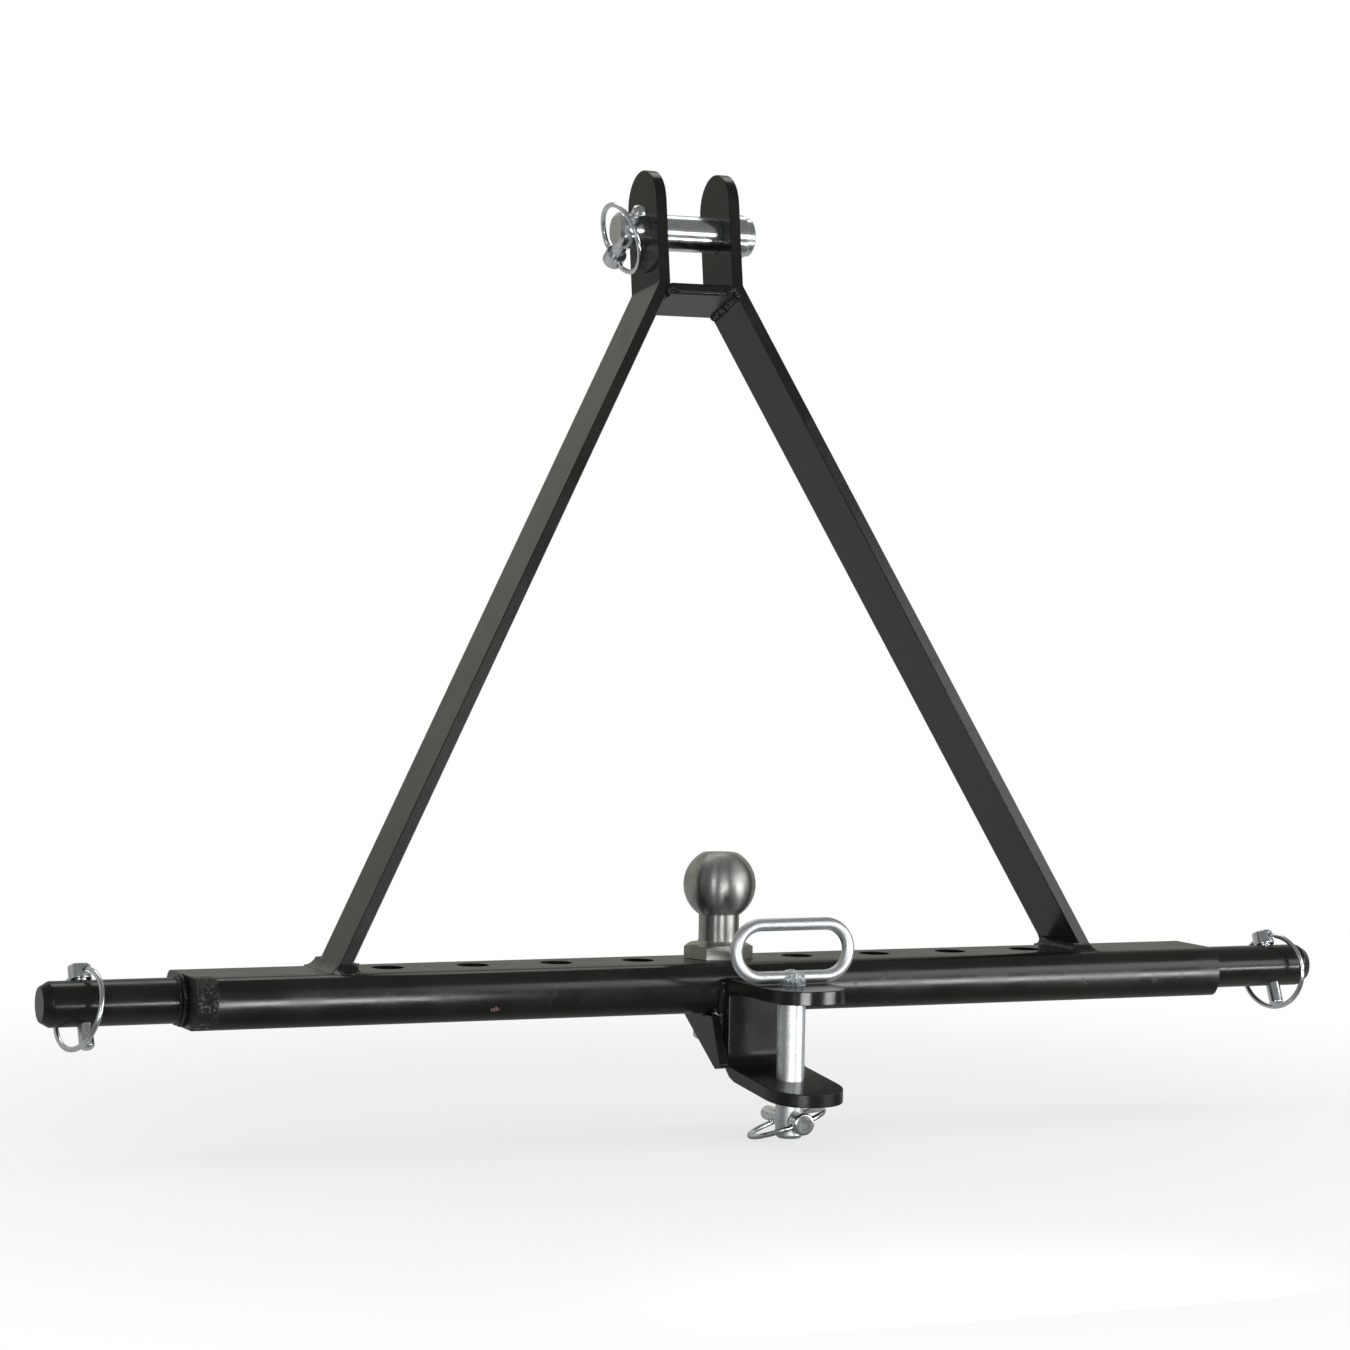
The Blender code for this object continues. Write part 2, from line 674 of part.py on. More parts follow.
def hex_prism(shop, name, across_flats, height, turn, place, material=None, both_ends=True):
    """Hexagonal prism standing on its place, its corners chamfered at the ends."""
    middle = place @ Matrix.Translation((0.0, 0.0, height / 2))
    prism = shop.plate(name, hexagon(across_flats, turn), height, middle, material)
    flat = HEX_FACE_SHARE * across_flats / 2
    corner = across_flats / 2 / math.cos(math.pi / 6) + GAP
    chamfer = (corner - flat) * math.tan(HEX_CHAMFER)
    above = height + OVERCUT
    profile = [(0.0, above), (flat, above), (flat, height), (corner, height - chamfer)]
    if both_ends:
        profile += [(corner, chamfer), (flat, 0.0), (flat, -OVERCUT), (0.0, -OVERCUT)]
    else:
        profile += [(corner, -OVERCUT), (0.0, -OVERCUT)]
    lathe = shop.turned(f"{name}_chamfer", profile, place)
    shop.combine(prism, lathe, "INTERSECT")
    return prism


def make_tow_ball(shop):
    """Ball, neck, hexagonal flange and shank in one, standing in the bar's middle hole."""
    ball = BALL_DIAMETER / 2
    neck = NECK_DIAMETER / 2
    shank = SHANK_DIAMETER / 2
    bar_top = BAR_HEIGHT / 2 + GAP
    centre = BAR_HEIGHT / 2 + BALL_CENTRE_HEIGHT
    flange_top = bar_top + FLANGE_THICKNESS
    top_angle = math.asin(BALL_FLAT_DIAMETER / BALL_DIAMETER)
    throat = math.asin((neck + NECK_FILLET / 2) / ball)
    sag = NECK_FILLET * (1 - math.cos(math.pi / 4))
    profile = [(0.0, centre + ball * math.cos(top_angle))]
    for step in range(BALL_ROWS + 1):
        angle = top_angle + (math.pi - throat - top_angle) * step / BALL_ROWS
        profile.append((ball * math.sin(angle), centre + ball * math.cos(angle)))
    profile.append((neck, profile[-1][1] - NECK_FILLET))
    profile.append((neck, flange_top + NECK_FILLET))
    profile.append((neck + sag, flange_top + sag))
    profile.append((neck + NECK_FILLET, flange_top))
    profile.append((neck + NECK_FILLET, bar_top + FLANGE_THICKNESS / 2))
    profile.append((shank, bar_top + FLANGE_THICKNESS / 2))
    profile.append((shank, SHANK_END + SHANK_END_CHAMFER))
    profile.append((shank - SHANK_END_CHAMFER, SHANK_END))
    profile.append((0.0, SHANK_END))
    body = shop.turned("tow_ball", profile, Matrix(), shop.steel, BALL_STEPS)
    flange = hex_prism(
        shop,
        "ball_flange",
        FLANGE_ACROSS_FLATS,
        FLANGE_THICKNESS,
        -math.pi / 2 - FLANGE_TURN,
        Matrix.Translation((0.0, 0.0, bar_top)),
        both_ends=False,
    )
    shop.combine(body, flange, "UNION")


def make_ball_fasteners(shop):
    """Spring washer and hexagonal nut on the ball's shank, under the bar."""
    bore = SHANK_DIAMETER / 2 + RUNNING_CLEARANCE
    rim = bore + SPRING_WASHER_WIDTH
    top = -BAR_HEIGHT / 2 - GAP
    bottom = top - SPRING_WASHER_THICKNESS
    profile = [(rim, top), (rim, bottom), (bore, bottom), (bore, top)]
    washer = shop.turned("ball_spring_washer", profile, Matrix(), shop.zinc, hollow=True)
    slot_middle = Vector((0.0, -(bore + rim) / 2, (top + bottom) / 2))
    slant = math.radians(25)
    across = Vector((math.sin(slant), 0.0, math.cos(slant)))
    slot = shop.box(
        "washer_slot",
        (SPRING_WASHER_SLOT, 3 * SPRING_WASHER_WIDTH, 4 * SPRING_WASHER_THICKNESS),
        standing(slot_middle, across, across.cross(-Y_AXIS)),
    )
    shop.combine(washer, slot)

    nut_place = Matrix.Translation((0.0, 0.0, NUT_TOP - NUT_HEIGHT))
    nut = hex_prism(shop, "ball_nut", NUT_ACROSS_FLATS, NUT_HEIGHT, 0.0, nut_place, shop.zinc)
    thread = shop.cylinder("nut_bore", 2 * bore, 3 * NUT_HEIGHT, nut_place)
    shop.combine(nut, thread)


def jaw_side_outline():
    """Side outline of the jaw in (y, z): upper leg, back and sloping lower leg."""
    tip = JAW_BACK - JAW_REACH
    inner_back = JAW_BACK - JAW_PLATE
    top = JAW_TOP_HEIGHT
    mouth_top = top - JAW_PLATE
    mouth_bottom = mouth_top - JAW_MOUTH
    slope = math.tan(JAW_LOWER_SLOPE)
    lower = JAW_LOWER_PLATE / math.cos(JAW_LOWER_SLOPE)
    reach = inner_back - tip
    back_bottom = mouth_bottom - lower
    outer_bend = JAW_LOWER_BEND_RADIUS + JAW_LOWER_PLATE
    return rounded_outline(
        [
            (tip, top, 0.0),
            (JAW_BACK, top, JAW_BEND_RADIUS),
            (JAW_BACK, back_bottom + JAW_PLATE * slope, outer_bend),
            (tip, back_bottom - reach * slope, 0.0),
            (tip, mouth_bottom - reach * slope, 0.0),
            (inner_back, mouth_bottom, JAW_LOWER_BEND_RADIUS),
            (inner_back, mouth_top, JAW_BEND_RADIUS),
            (tip, mouth_top, 0.0),
        ]
    )


def jaw_plan_outline():
    """Plan of the jaw in (x, y): straight flanks and a rounded nose."""
    tip = JAW_BACK - JAW_REACH
    nose = superellipse_arc(
        JAW_WIDTH / 2, JAW_NOSE_LENGTH, JAW_NOSE_POWER, math.pi, 2 * math.pi, NOSE_STEPS
    )
    shoulder = tip + JAW_NOSE_LENGTH
    outline = [(JAW_OFFSET + x, shoulder + y) for x, y in nose]
    outline.append((JAW_OFFSET + JAW_WIDTH / 2, JAW_BACK + JAW_PLATE))
    outline.append((JAW_OFFSET - JAW_WIDTH / 2, JAW_BACK + JAW_PLATE))
    return outline


def make_clevis_jaw(shop):
    """Bent plate against the bar's front, drilled through both legs for the drop pin."""
    jaw = shop.plate(
        "clevis_jaw", jaw_side_outline(), 1.5 * JAW_WIDTH, across_bar(JAW_OFFSET), shop.paint
    )
    plan = shop.plate("jaw_plan", jaw_plan_outline(), 6 * JAW_MOUTH, Matrix())
    shop.combine(jaw, plan, "INTERSECT")
    hole = shop.cylinder(
        "drop_pin_hole",
        DROP_PIN_DIAMETER + 2 * RUNNING_CLEARANCE,
        6 * JAW_MOUTH,
        Matrix.Translation(DROP_PIN_AXIS),
    )
    shop.combine(jaw, hole)


def make_gussets(shop):
    """Triangular plates either side of the nut that brace the jaw from the bar's underside."""
    top = -BAR_HEIGHT / 2 - GAP
    slope = math.tan(GUSSET_SLOPE)
    centre = NUT_ACROSS_FLATS / 2 + GUSSET_CLEARANCE + GUSSET_THICKNESS / 2
    behind = GUSSET_LENGTH_BEHIND
    front = -LEFT_GUSSET_FRONT
    tip = front + JAW_PLATE
    tip_height = top - slope * (behind - tip)
    left = [
        (behind, top, 0.0),
        (tip, tip_height, GUSSET_TIP_RADIUS),
        (front, tip_height + LEFT_GUSSET_TIP_RISE, GUSSET_TIP_RADIUS),
        (JAW_BACK, top, 0.0),
    ]
    shop.plate(
        "left_gusset", rounded_outline(left), GUSSET_THICKNESS, across_bar(-centre), shop.paint
    )
    back = JAW_BACK + GAP
    right = [(behind, top), (back, top - slope * (behind - back)), (back, top)]
    shop.plate("right_gusset", right, GUSSET_THICKNESS, across_bar(centre), shop.paint)


def handle_path():
    """Middle line of the handle: a long loop with half-round ends, its lowest run at zero."""
    bend = (HANDLE_HEIGHT - HANDLE_ROD) / 2
    straight = (HANDLE_WIDTH - HANDLE_HEIGHT) / 2
    path = []
    for side, start in ((1, -math.pi / 2), (-1, math.pi / 2)):
        for step in range(HANDLE_STEPS + 1):
            angle = start + math.pi * step / HANDLE_STEPS
            path.append((side * straight + bend * math.cos(angle), bend + bend * math.sin(angle)))
    return path


def make_drop_pin(shop):
    """Pin through the jaw with its welded handle and its linchpin; all of it turns together."""
    radius = DROP_PIN_DIAMETER / 2
    rod_bottom = JAW_TOP_HEIGHT + HANDLE_SEAT_HEIGHT
    rod_middle = rod_bottom + HANDLE_ROD / 2
    top = rod_bottom - GAP
    bottom = DROP_PEG_HEIGHT - DROP_PIN_BELOW_PEG
    profile = [
        (0.0, top),
        (radius, top),
        (radius, bottom + DROP_PIN_CHAMFER),
        (radius - DROP_PIN_CHAMFER, bottom),
        (0.0, bottom),
    ]
    place = Matrix.Translation(DROP_PIN_AXIS)
    axis = shop.joint_axis("drop_pin_axis", place)
    pin = shop.turned("drop_pin", profile, place, shop.zinc)
    shop.carry(pin, axis)

    handle_place = standing(DROP_PIN_AXIS + rod_middle * Z_AXIS, -Y_AXIS, X_AXIS)
    handle = shop.rod(
        "drop_pin_handle", handle_path(), HANDLE_ROD, handle_place, shop.zinc, cyclic=True
    )
    shop.carry(handle, axis)
    make_handle_welds(shop, axis, rod_bottom, rod_middle)

    crossing = DROP_PIN_AXIS + DROP_PEG_HEIGHT * Z_AXIS
    fit = PegFit(DROP_PEG_REACH, DROP_PEG_LENGTH, DROP_PEG_TURN, DROP_RING_RADIUS)
    linchpin(shop, "drop", pin, crossing, -Y_AXIS, -Z_AXIS, fit, axis)


def make_handle_welds(shop, axis, rod_bottom, rod_middle):
    """Beads before and behind the handle's rod, on the pin's top."""
    middle = DROP_PIN_AXIS + rod_bottom * Z_AXIS
    rod_room = shop.cylinder(
        "handle_rod_room",
        HANDLE_ROD + 2 * GAP,
        2 * HANDLE_WIDTH,
        standing(DROP_PIN_AXIS + rod_middle * Z_AXIS, X_AXIS, Y_AXIS),
        PEG_STEPS,
    )
    pin_room = shop.box(
        "pin_top_room",
        (HANDLE_WIDTH, HANDLE_WIDTH, HANDLE_HEIGHT),
        Matrix.Translation(middle - HANDLE_HEIGHT / 2 * Z_AXIS),
    )
    for side, name in ((-1, "front"), (1, "rear")):
        shape = bmesh.new()
        bmesh.ops.create_uvsphere(
            shape, u_segments=BLOB_STEPS, v_segments=BLOB_ROWS, radius=0.5
        )
        size = (HANDLE_WELD_LENGTH, HANDLE_WELD_DEPTH, HANDLE_WELD_HEIGHT)
        bmesh.ops.scale(shape, vec=size, verts=shape.verts)
        mesh = bpy.data.meshes.new(f"handle_{name}_weld")
        shape.to_mesh(mesh)
        shape.free()
        outward = side * (HANDLE_WELD_DEPTH / 2 + GAP) * Y_AXIS
        bead = shop.add(mesh.name, mesh, Matrix.Translation(middle + outward), shop.zinc)
        shop.combine(bead, rod_room)
        shop.combine(bead, pin_room)
        shop.carry(bead, axis)


def main():
    clear_scene()
    shop = Workshop()
    make_cross_bar(shop)
    make_link_pins(shop)
    make_side_rails(shop)
    make_top_crosspiece(shop)
    make_top_link_pin(shop)
    make_tow_ball(shop)
    make_ball_fasteners(shop)
    make_clevis_jaw(shop)
    make_gussets(shop)
    make_drop_pin(shop)


main()
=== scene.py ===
"""Finished look of a tractor drawbar: painted bar and A-frame, zinc pins and a turned tow ball.

Metres, +Z up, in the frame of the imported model. Each piece sits at the origin, with its place in
its mesh, so a pattern on Object coordinates is measured in metres from the drawbar's origin.
"""

import json
import math
from typing import NamedTuple

import bmesh
import bpy
from bpy.props import FloatProperty, FloatVectorProperty, IntProperty, PointerProperty
from mathutils import Matrix, Vector, noise


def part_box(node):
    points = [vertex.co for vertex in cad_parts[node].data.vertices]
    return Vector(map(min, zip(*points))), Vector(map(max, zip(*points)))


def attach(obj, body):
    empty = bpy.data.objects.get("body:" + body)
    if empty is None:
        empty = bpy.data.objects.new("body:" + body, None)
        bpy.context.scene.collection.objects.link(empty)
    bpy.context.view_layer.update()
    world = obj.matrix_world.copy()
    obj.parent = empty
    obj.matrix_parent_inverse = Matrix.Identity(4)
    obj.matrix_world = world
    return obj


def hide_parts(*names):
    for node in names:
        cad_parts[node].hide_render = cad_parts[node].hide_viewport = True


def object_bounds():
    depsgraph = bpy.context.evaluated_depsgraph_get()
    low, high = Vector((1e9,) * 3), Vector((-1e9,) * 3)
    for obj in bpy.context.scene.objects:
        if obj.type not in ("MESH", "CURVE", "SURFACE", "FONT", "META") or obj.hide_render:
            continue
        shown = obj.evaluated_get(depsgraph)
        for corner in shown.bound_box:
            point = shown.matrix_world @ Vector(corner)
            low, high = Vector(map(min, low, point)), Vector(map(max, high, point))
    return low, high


bl_info = {
    "name": "Tractor drawbar",
    "version": (1, 0, 0),
    "blender": (4, 5, 0),
    "location": "3D View > Sidebar > Drawbar",
    "description": "Finished pieces, materials and studio of a tractor drawbar",
    "category": "Object",
}

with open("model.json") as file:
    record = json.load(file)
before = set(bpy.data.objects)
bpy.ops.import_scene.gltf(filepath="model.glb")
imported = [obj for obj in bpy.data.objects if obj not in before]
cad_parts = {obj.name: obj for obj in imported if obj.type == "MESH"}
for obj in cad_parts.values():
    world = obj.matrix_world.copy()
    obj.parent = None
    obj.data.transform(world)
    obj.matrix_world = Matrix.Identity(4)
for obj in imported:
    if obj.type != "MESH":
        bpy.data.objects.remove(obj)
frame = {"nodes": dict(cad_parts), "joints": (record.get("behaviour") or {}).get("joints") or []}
CAD_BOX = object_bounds()
JOINTS = {joint["name"]: joint for joint in frame["joints"]}

X_AXIS = Vector((1.0, 0.0, 0.0))
Y_AXIS = Vector((0.0, 1.0, 0.0))
Z_AXIS = Vector((0.0, 0.0, 1.0))
WHITE = (1.0, 1.0, 1.0, 1.0)

# Clearances that the solids keep
GAP = 0.0003
HOLE_CLEARANCE = 0.0003

# The A-frame's lean towards the tractor
FRAME_LEAN = math.radians(8.6)
FRAME_UP = Vector((0.0, math.sin(FRAME_LEAN), math.cos(FRAME_LEAN)))
FRAME_ACROSS = Vector((0.0, math.cos(FRAME_LEAN), -math.sin(FRAME_LEAN)))
FRAME_FOOT = Vector((0.0, 0.0025, 0.0175))
FLAT_WIDTH = 0.050
FLAT_THICKNESS = 0.008
BEND_HEIGHT = 0.4693
EAR_INNER = 0.024
RAIL_SPLAY = math.atan2(0.284 - EAR_INNER - FLAT_THICKNESS, BEND_HEIGHT)
PLATE_DROP = 0.006

# The superellipse of the bar's long edges
BAR_EDGE_DEPTH = 0.013
BAR_EDGE_POWER = 2.4

# Rounded edges of the turned and the small pieces
PIN_EDGE = 0.0003
LINK_PIN_EDGE = 0.0004
BALL_EDGE = 0.0005

# The usual radius of a weld bead, for which the unevenness is given
BEAD_RADIUS = 0.0025

# Round pieces
TURNED_STEPS = 96
PEG_STEPS = 64
BALL_ROWS = 56
HANDLE_BEND_STEPS = 24
RING_SHOULDER_STEPS = 10
RING_BOW_STEPS = 48
CIRCLE_STEPS = 48
FILLET_STEPS = 5
PEG_DIAMETER = 0.010
PEG_HEAD_DIAMETER = 0.015
PEG_HEAD_HEIGHT = 0.0105
WIRE_DIAMETER = 0.0036
EYE_CLEARANCE = 0.0006
RING_SHOULDER_RADIUS = 0.016
RING_STRAIGHT = 0.005
RING_END_GAP = 0.003


class Linchpin(NamedTuple):
    """One linchpin: the body of its peg, the lean of its head from +Z towards +Y, and its sizes."""

    name: str
    body: str
    lean: float
    free_end: Vector
    reach: float
    length: float
    ring_radius: float

    @property
    def head_way(self):
        return Vector((0.0, math.sin(self.lean), math.cos(self.lean)))

    @property
    def hinge(self):
        return Vector(JOINTS[f"{self.name}_ring_flip"]["pos_m"])

    @property
    def hinge_way(self):
        """The ring's hinge axis, signed so that the ring leans out towards the pin's free end."""
        axis = Vector(JOINTS[f"{self.name}_ring_flip"]["axis"]).normalized()
        if axis.cross(self.head_way).dot(self.free_end) < 0:
            axis.negate()
        return axis


FITS = (
    Linchpin("left", "frame", math.radians(24), -X_AXIS, 0.02055, 0.0565, 0.02625),
    Linchpin("right", "frame", math.radians(24), X_AXIS, 0.02055, 0.0565, 0.02625),
    Linchpin("top", "top_pin", math.radians(124), -X_AXIS, 0.030, 0.060, 0.0245),
    Linchpin("drop", "drop_pin", math.radians(-90), -Z_AXIS, 0.0185, 0.060, 0.02625),
)
LINCHPINS = {fit.name: fit for fit in FITS}


def length_setting(name, description, default, least=0.0):
    return FloatProperty(
        name=name, description=description, default=default, unit="LENGTH", min=least
    )


def factor_setting(name, description, default, most=1.0):
    return FloatProperty(
        name=name, description=description, default=default, subtype="FACTOR", min=0.0, max=most
    )


def power_setting(name, description, default):
    return FloatProperty(
        name=name, description=description, default=default, unit="POWER", min=0.0
    )


def angle_setting(name, description, default):
    return FloatProperty(name=name, description=description, default=default, subtype="ANGLE")


def colour_setting(name, description, default):
    return FloatVectorProperty(
        name=name,
        description=description,
        default=default,
        subtype="COLOR",
        size=3,
        min=0.0,
        max=1.0,
    )


class DrawbarPaintSettings(bpy.types.PropertyGroup):
    """The black gloss paint."""

    colour: colour_setting("Paint colour", "Colour of the black paint", (0.0085, 0.0083, 0.0068))
    roughness: factor_setting("Roughness", "How far the paint's highlights spread", 0.20)
    peel_size: length_setting(
        "Peel size", "Width of one ripple of the sprayed paint", 0.0022, 0.0002
    )
    peel_depth: length_setting("Peel depth", "Height of the ripples of the sprayed paint", 0.00003)
    edge_radius: length_setting(
        "Edge radius", "Rounding of the rolled and cut edges under the paint", 0.0006, 0.0001
    )


class DrawbarMetalSettings(bpy.types.PropertyGroup):
    """The bare metals: zinc plate on the pins, turned steel on the ball."""

    zinc_colour: colour_setting(
        "Zinc colour", "Colour of the bright zinc plate", (0.92, 0.95, 0.97)
    )
    satin_roughness: factor_setting(
        "Satin zinc roughness", "How far highlights spread on the drop pin and its handle", 0.40
    )
    bright_roughness: factor_setting(
        "Bright zinc roughness",
        "How far highlights spread on the top link pin and the linchpins",
        0.19,
    )
    steel_colour: colour_setting("Steel colour", "Colour of the turned steel", (0.50, 0.51, 0.48))
    steel_roughness: factor_setting(
        "Steel roughness", "How far the turned steel's highlights spread", 0.35
    )
    steel_streak: factor_setting(
        "Steel streak", "How far the lathe's rings draw the steel's highlights out along Z", 0.85
    )
    tool_mark: length_setting(
        "Tool mark", "Pitch of the fine rings that the lathe left on the ball", 0.0006, 0.0001
    )


class DrawbarWeldSettings(bpy.types.PropertyGroup):
    """The weld beads."""

    ripple_pitch: length_setting(
        "Ripple pitch", "Distance between the bead's ripples", 0.0022, 0.0005
    )
    ripple_depth: factor_setting(
        "Ripple depth", "Share of the bead's radius that the ripples take", 0.14, 0.5
    )
    unevenness: length_setting("Unevenness", "How far the bead wanders in and out", 0.0006)
    seed: IntProperty(
        name="Seed",
        description="Which of the uneven shapes the beads take",
        min=0,
        default=7,
    )


class DrawbarStudioSettings(bpy.types.PropertyGroup):
    """Floor, lights and camera."""

    floor_colour: colour_setting("Floor colour", "Colour of the floor", (0.86, 0.86, 0.86))
    sky_strength: FloatProperty(
        name="Sky strength",
        description="Light from all round the object",
        min=0.0,
        default=0.45,
    )
    front_power: power_setting("Front light", "Power of the two long low lights in front", 5.4)
    right_power: power_setting("Right light", "Power of the light on the right", 8.7)
    left_power: power_setting("Left light", "Power of the narrow light on the left", 2.2)
    top_power: power_setting("Top light", "Power of the light overhead", 11.0)
    focal_length: FloatProperty(
        name="Focal length",
        description="Focal length on a sensor 36 mm wide, in millimetres",
        min=10.0,
        default=100.06,
    )


# Meshes


def on_frame(x, across, along):
    """Place on the leaning A-frame: x, across it towards the tractor, and along it upwards."""
    return FRAME_FOOT + x * X_AXIS + across * FRAME_ACROSS + along * FRAME_UP


def rail_inner_face(along):
    """Distance from the middle to a rail's inner face, at a height along the A-frame."""
    bend = BEND_HEIGHT - FLAT_THICKNESS * math.tan(RAIL_SPLAY / 2)
    return EAR_INNER + max(0.0, bend - along) * math.tan(RAIL_SPLAY)


def standing(origin, z_axis, x_axis):
    """Matrix that stands a piece at origin, its own Z and X along the given directions."""
    z_axis = Vector(z_axis).normalized()
    x_axis = Vector(x_axis).normalized()
    rotation = Matrix((x_axis, z_axis.cross(x_axis), z_axis)).transposed()
    return Matrix.Translation(origin) @ rotation.to_4x4()


def spread(start, end, steps):
    """Values in even steps from start to end, with both ends."""
    return [start + (end - start) * step / steps for step in range(steps + 1)]


def rounded(*corners, closed=False):
    """Outline through corners (x, y, radius), each radius drawn as an arc."""
    points = []
    last = len(corners) - 1
    for index, (x, y, radius) in enumerate(corners):
        corner = Vector((x, y))
        open_end = not closed and index in (0, last)
        if radius == 0.0 or open_end:
            points.append(corner)
            continue
        before = (Vector(corners[index - 1][:2]) - corner).normalized()
        after = (Vector(corners[(index + 1) % len(corners)][:2]) - corner).normalized()
        half = before.angle(after) / 2
        centre = corner + (before + after).normalized() * (radius / math.sin(half))
        start = corner + before * (radius / math.tan(half)) - centre
        end = corner + after * (radius / math.tan(half)) - centre
        turn = math.atan2(start.x * end.y - start.y * end.x, start.dot(end))
        for angle in spread(0.0, turn, FILLET_STEPS):
            points.append(centre + Matrix.Rotation(angle, 2) @ start)
    return points


def mesh_from(shape, name):
    mesh = bpy.data.meshes.new(name)
    shape.to_mesh(mesh)
    shape.free()
    return mesh


def seamless(shape, name, place):
    """Mesh of a shape in its place, its seams merged and its faces turned outwards."""
    bmesh.ops.remove_doubles(shape, verts=shape.verts, dist=0.000001)
    bmesh.ops.recalc_face_normals(shape, faces=shape.faces)
    shape.transform(place)
    return mesh_from(shape, name)


def loft(name, rings):
    """Closed mesh through rings of points, with a cap at each end."""
    shape = bmesh.new()
    rows = [[shape.verts.new(point) for point in ring] for ring in rings]
    for first, second in zip(rows, rows[1:]):
        for index in range(len(first)):
            after = (index + 1) % len(first)
            shape.faces.new((first[index], first[after], second[after], second[index]))
    shape.faces.new(rows[0])
    shape.faces.new(rows[-1])
    bmesh.ops.recalc_face_normals(shape, faces=shape.faces)
    return mesh_from(shape, name)


def plain_mesh(guide):
    """The mesh that a guide object's curve or modifiers make. The guide is removed."""
    if not guide.users_collection:
        bpy.context.scene.collection.objects.link(guide)
    graph = bpy.context.evaluated_depsgraph_get()
    graph.update()
    mesh = bpy.data.meshes.new_from_object(guide.evaluated_get(graph))
    mesh.name = guide.name
    bpy.data.objects.remove(guide, do_unlink=True)
    return mesh


def turned(name, profile, place, steps=TURNED_STEPS):
    """Profile of (radius, height) points, turned about its own Z and put in its place."""
    shape = bmesh.new()
    verts = [shape.verts.new((radius, 0.0, height)) for radius, height in profile]
    edges = [shape.edges.new(pair) for pair in zip(verts, verts[1:])]
    bmesh.ops.spin(
        shape,
        geom=verts + edges,
        cent=(0.0, 0.0, 0.0),
        axis=(0.0, 0.0, 1.0),
        angle=2 * math.pi,
        steps=steps,
        use_duplicate=False,
    )
    return seamless(shape, name, place)


def prism(radius, length, sides):
    """Straight prism or cylinder about its own Z."""
    shape = bmesh.new()
    bmesh.ops.create_cone(
        shape, cap_ends=True, segments=sides, radius1=radius, radius2=radius, depth=length
    )
    return shape


def cylinder(name, diameter, length, place):
    shape = prism(diameter / 2, length, CIRCLE_STEPS)
    shape.transform(place)
    return mesh_from(shape, name)


def tube(name, path, diameter, place, cyclic=False, sides=6):
    """Round rod or wire along a path in its own XY plane."""
    curve = bpy.data.curves.new(name, "CURVE")
    curve.dimensions = "3D"
    curve.bevel_depth = diameter / 2
    curve.bevel_resolution = sides
    curve.use_fill_caps = True
    spline = curve.splines.new("POLY")
    spline.points.add(len(path) - 1)
    for point, (x, y) in zip(spline.points, path):
        point.co = (x, y, 0.0, 1.0)
    spline.use_cyclic_u = cyclic
    mesh = plain_mesh(bpy.data.objects.new(name, curve))
    shape = bmesh.new()
    shape.from_mesh(mesh)
    bpy.data.meshes.remove(mesh)
    return seamless(shape, name, place)


def cut(mesh, tool, operation="DIFFERENCE"):
    """The mesh after a Boolean with a tool mesh."""
    guide = bpy.data.objects.new(mesh.name, mesh)
    cutter = bpy.data.objects.new(tool.name, tool)
    bpy.context.scene.collection.objects.link(cutter)
    boolean = guide.modifiers.new("Cut", "BOOLEAN")
    boolean.operation = operation
    boolean.object = cutter
    result = plain_mesh(guide)
    bpy.data.objects.remove(cutter, do_unlink=True)
    return result


def merged_copy(node):
    """Copy of a solid's mesh with its corners merged and its flat faces whole."""
    shape = bmesh.new()
    shape.from_mesh(frame["nodes"][node].data)
    bmesh.ops.remove_doubles(shape, verts=shape.verts, dist=0.000002)
    bmesh.ops.dissolve_limit(
        shape, angle_limit=math.radians(0.3), verts=shape.verts, edges=shape.edges
    )
    for face in shape.faces:
        face.material_index = 0
    mesh = mesh_from(shape, node)
    mesh.materials.clear()
    return mesh


def soften(piece, radius, segments=2, angle=40):
    """Round a piece's sharp edges and keep its flat faces flat."""
    bevel = piece.modifiers.new("Edge radius", "BEVEL")
    bevel.width = radius
    bevel.segments = segments
    bevel.limit_method = "ANGLE"
    bevel.angle_limit = math.radians(angle)
    bevel.use_clamp_overlap = True
    bevel.miter_outer = "MITER_ARC"
    weights = piece.modifiers.new("Flat faces", "WEIGHTED_NORMAL")
    weights.keep_sharp = True
    weights.weight = 80


def shade(mesh, angle=32):
    mesh.shade_smooth()
    mesh.set_sharp_from_angle(angle=math.radians(angle))


def add_piece(name, mesh, body, finish, stands_for=()):
    """Put a finished mesh on its body with the material of its finish."""
    slot = SLOTS.get(finish, finish)
    mesh.name = name
    mesh.materials.clear()
    mesh.materials.append(Palette.get(finish))
    shade(mesh)
    piece = bpy.data.objects.new(name, mesh)
    bpy.context.scene.collection.objects.link(piece)
    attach(piece, body)
    if stands_for:
        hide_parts(*stands_for)
    return piece


# Materials


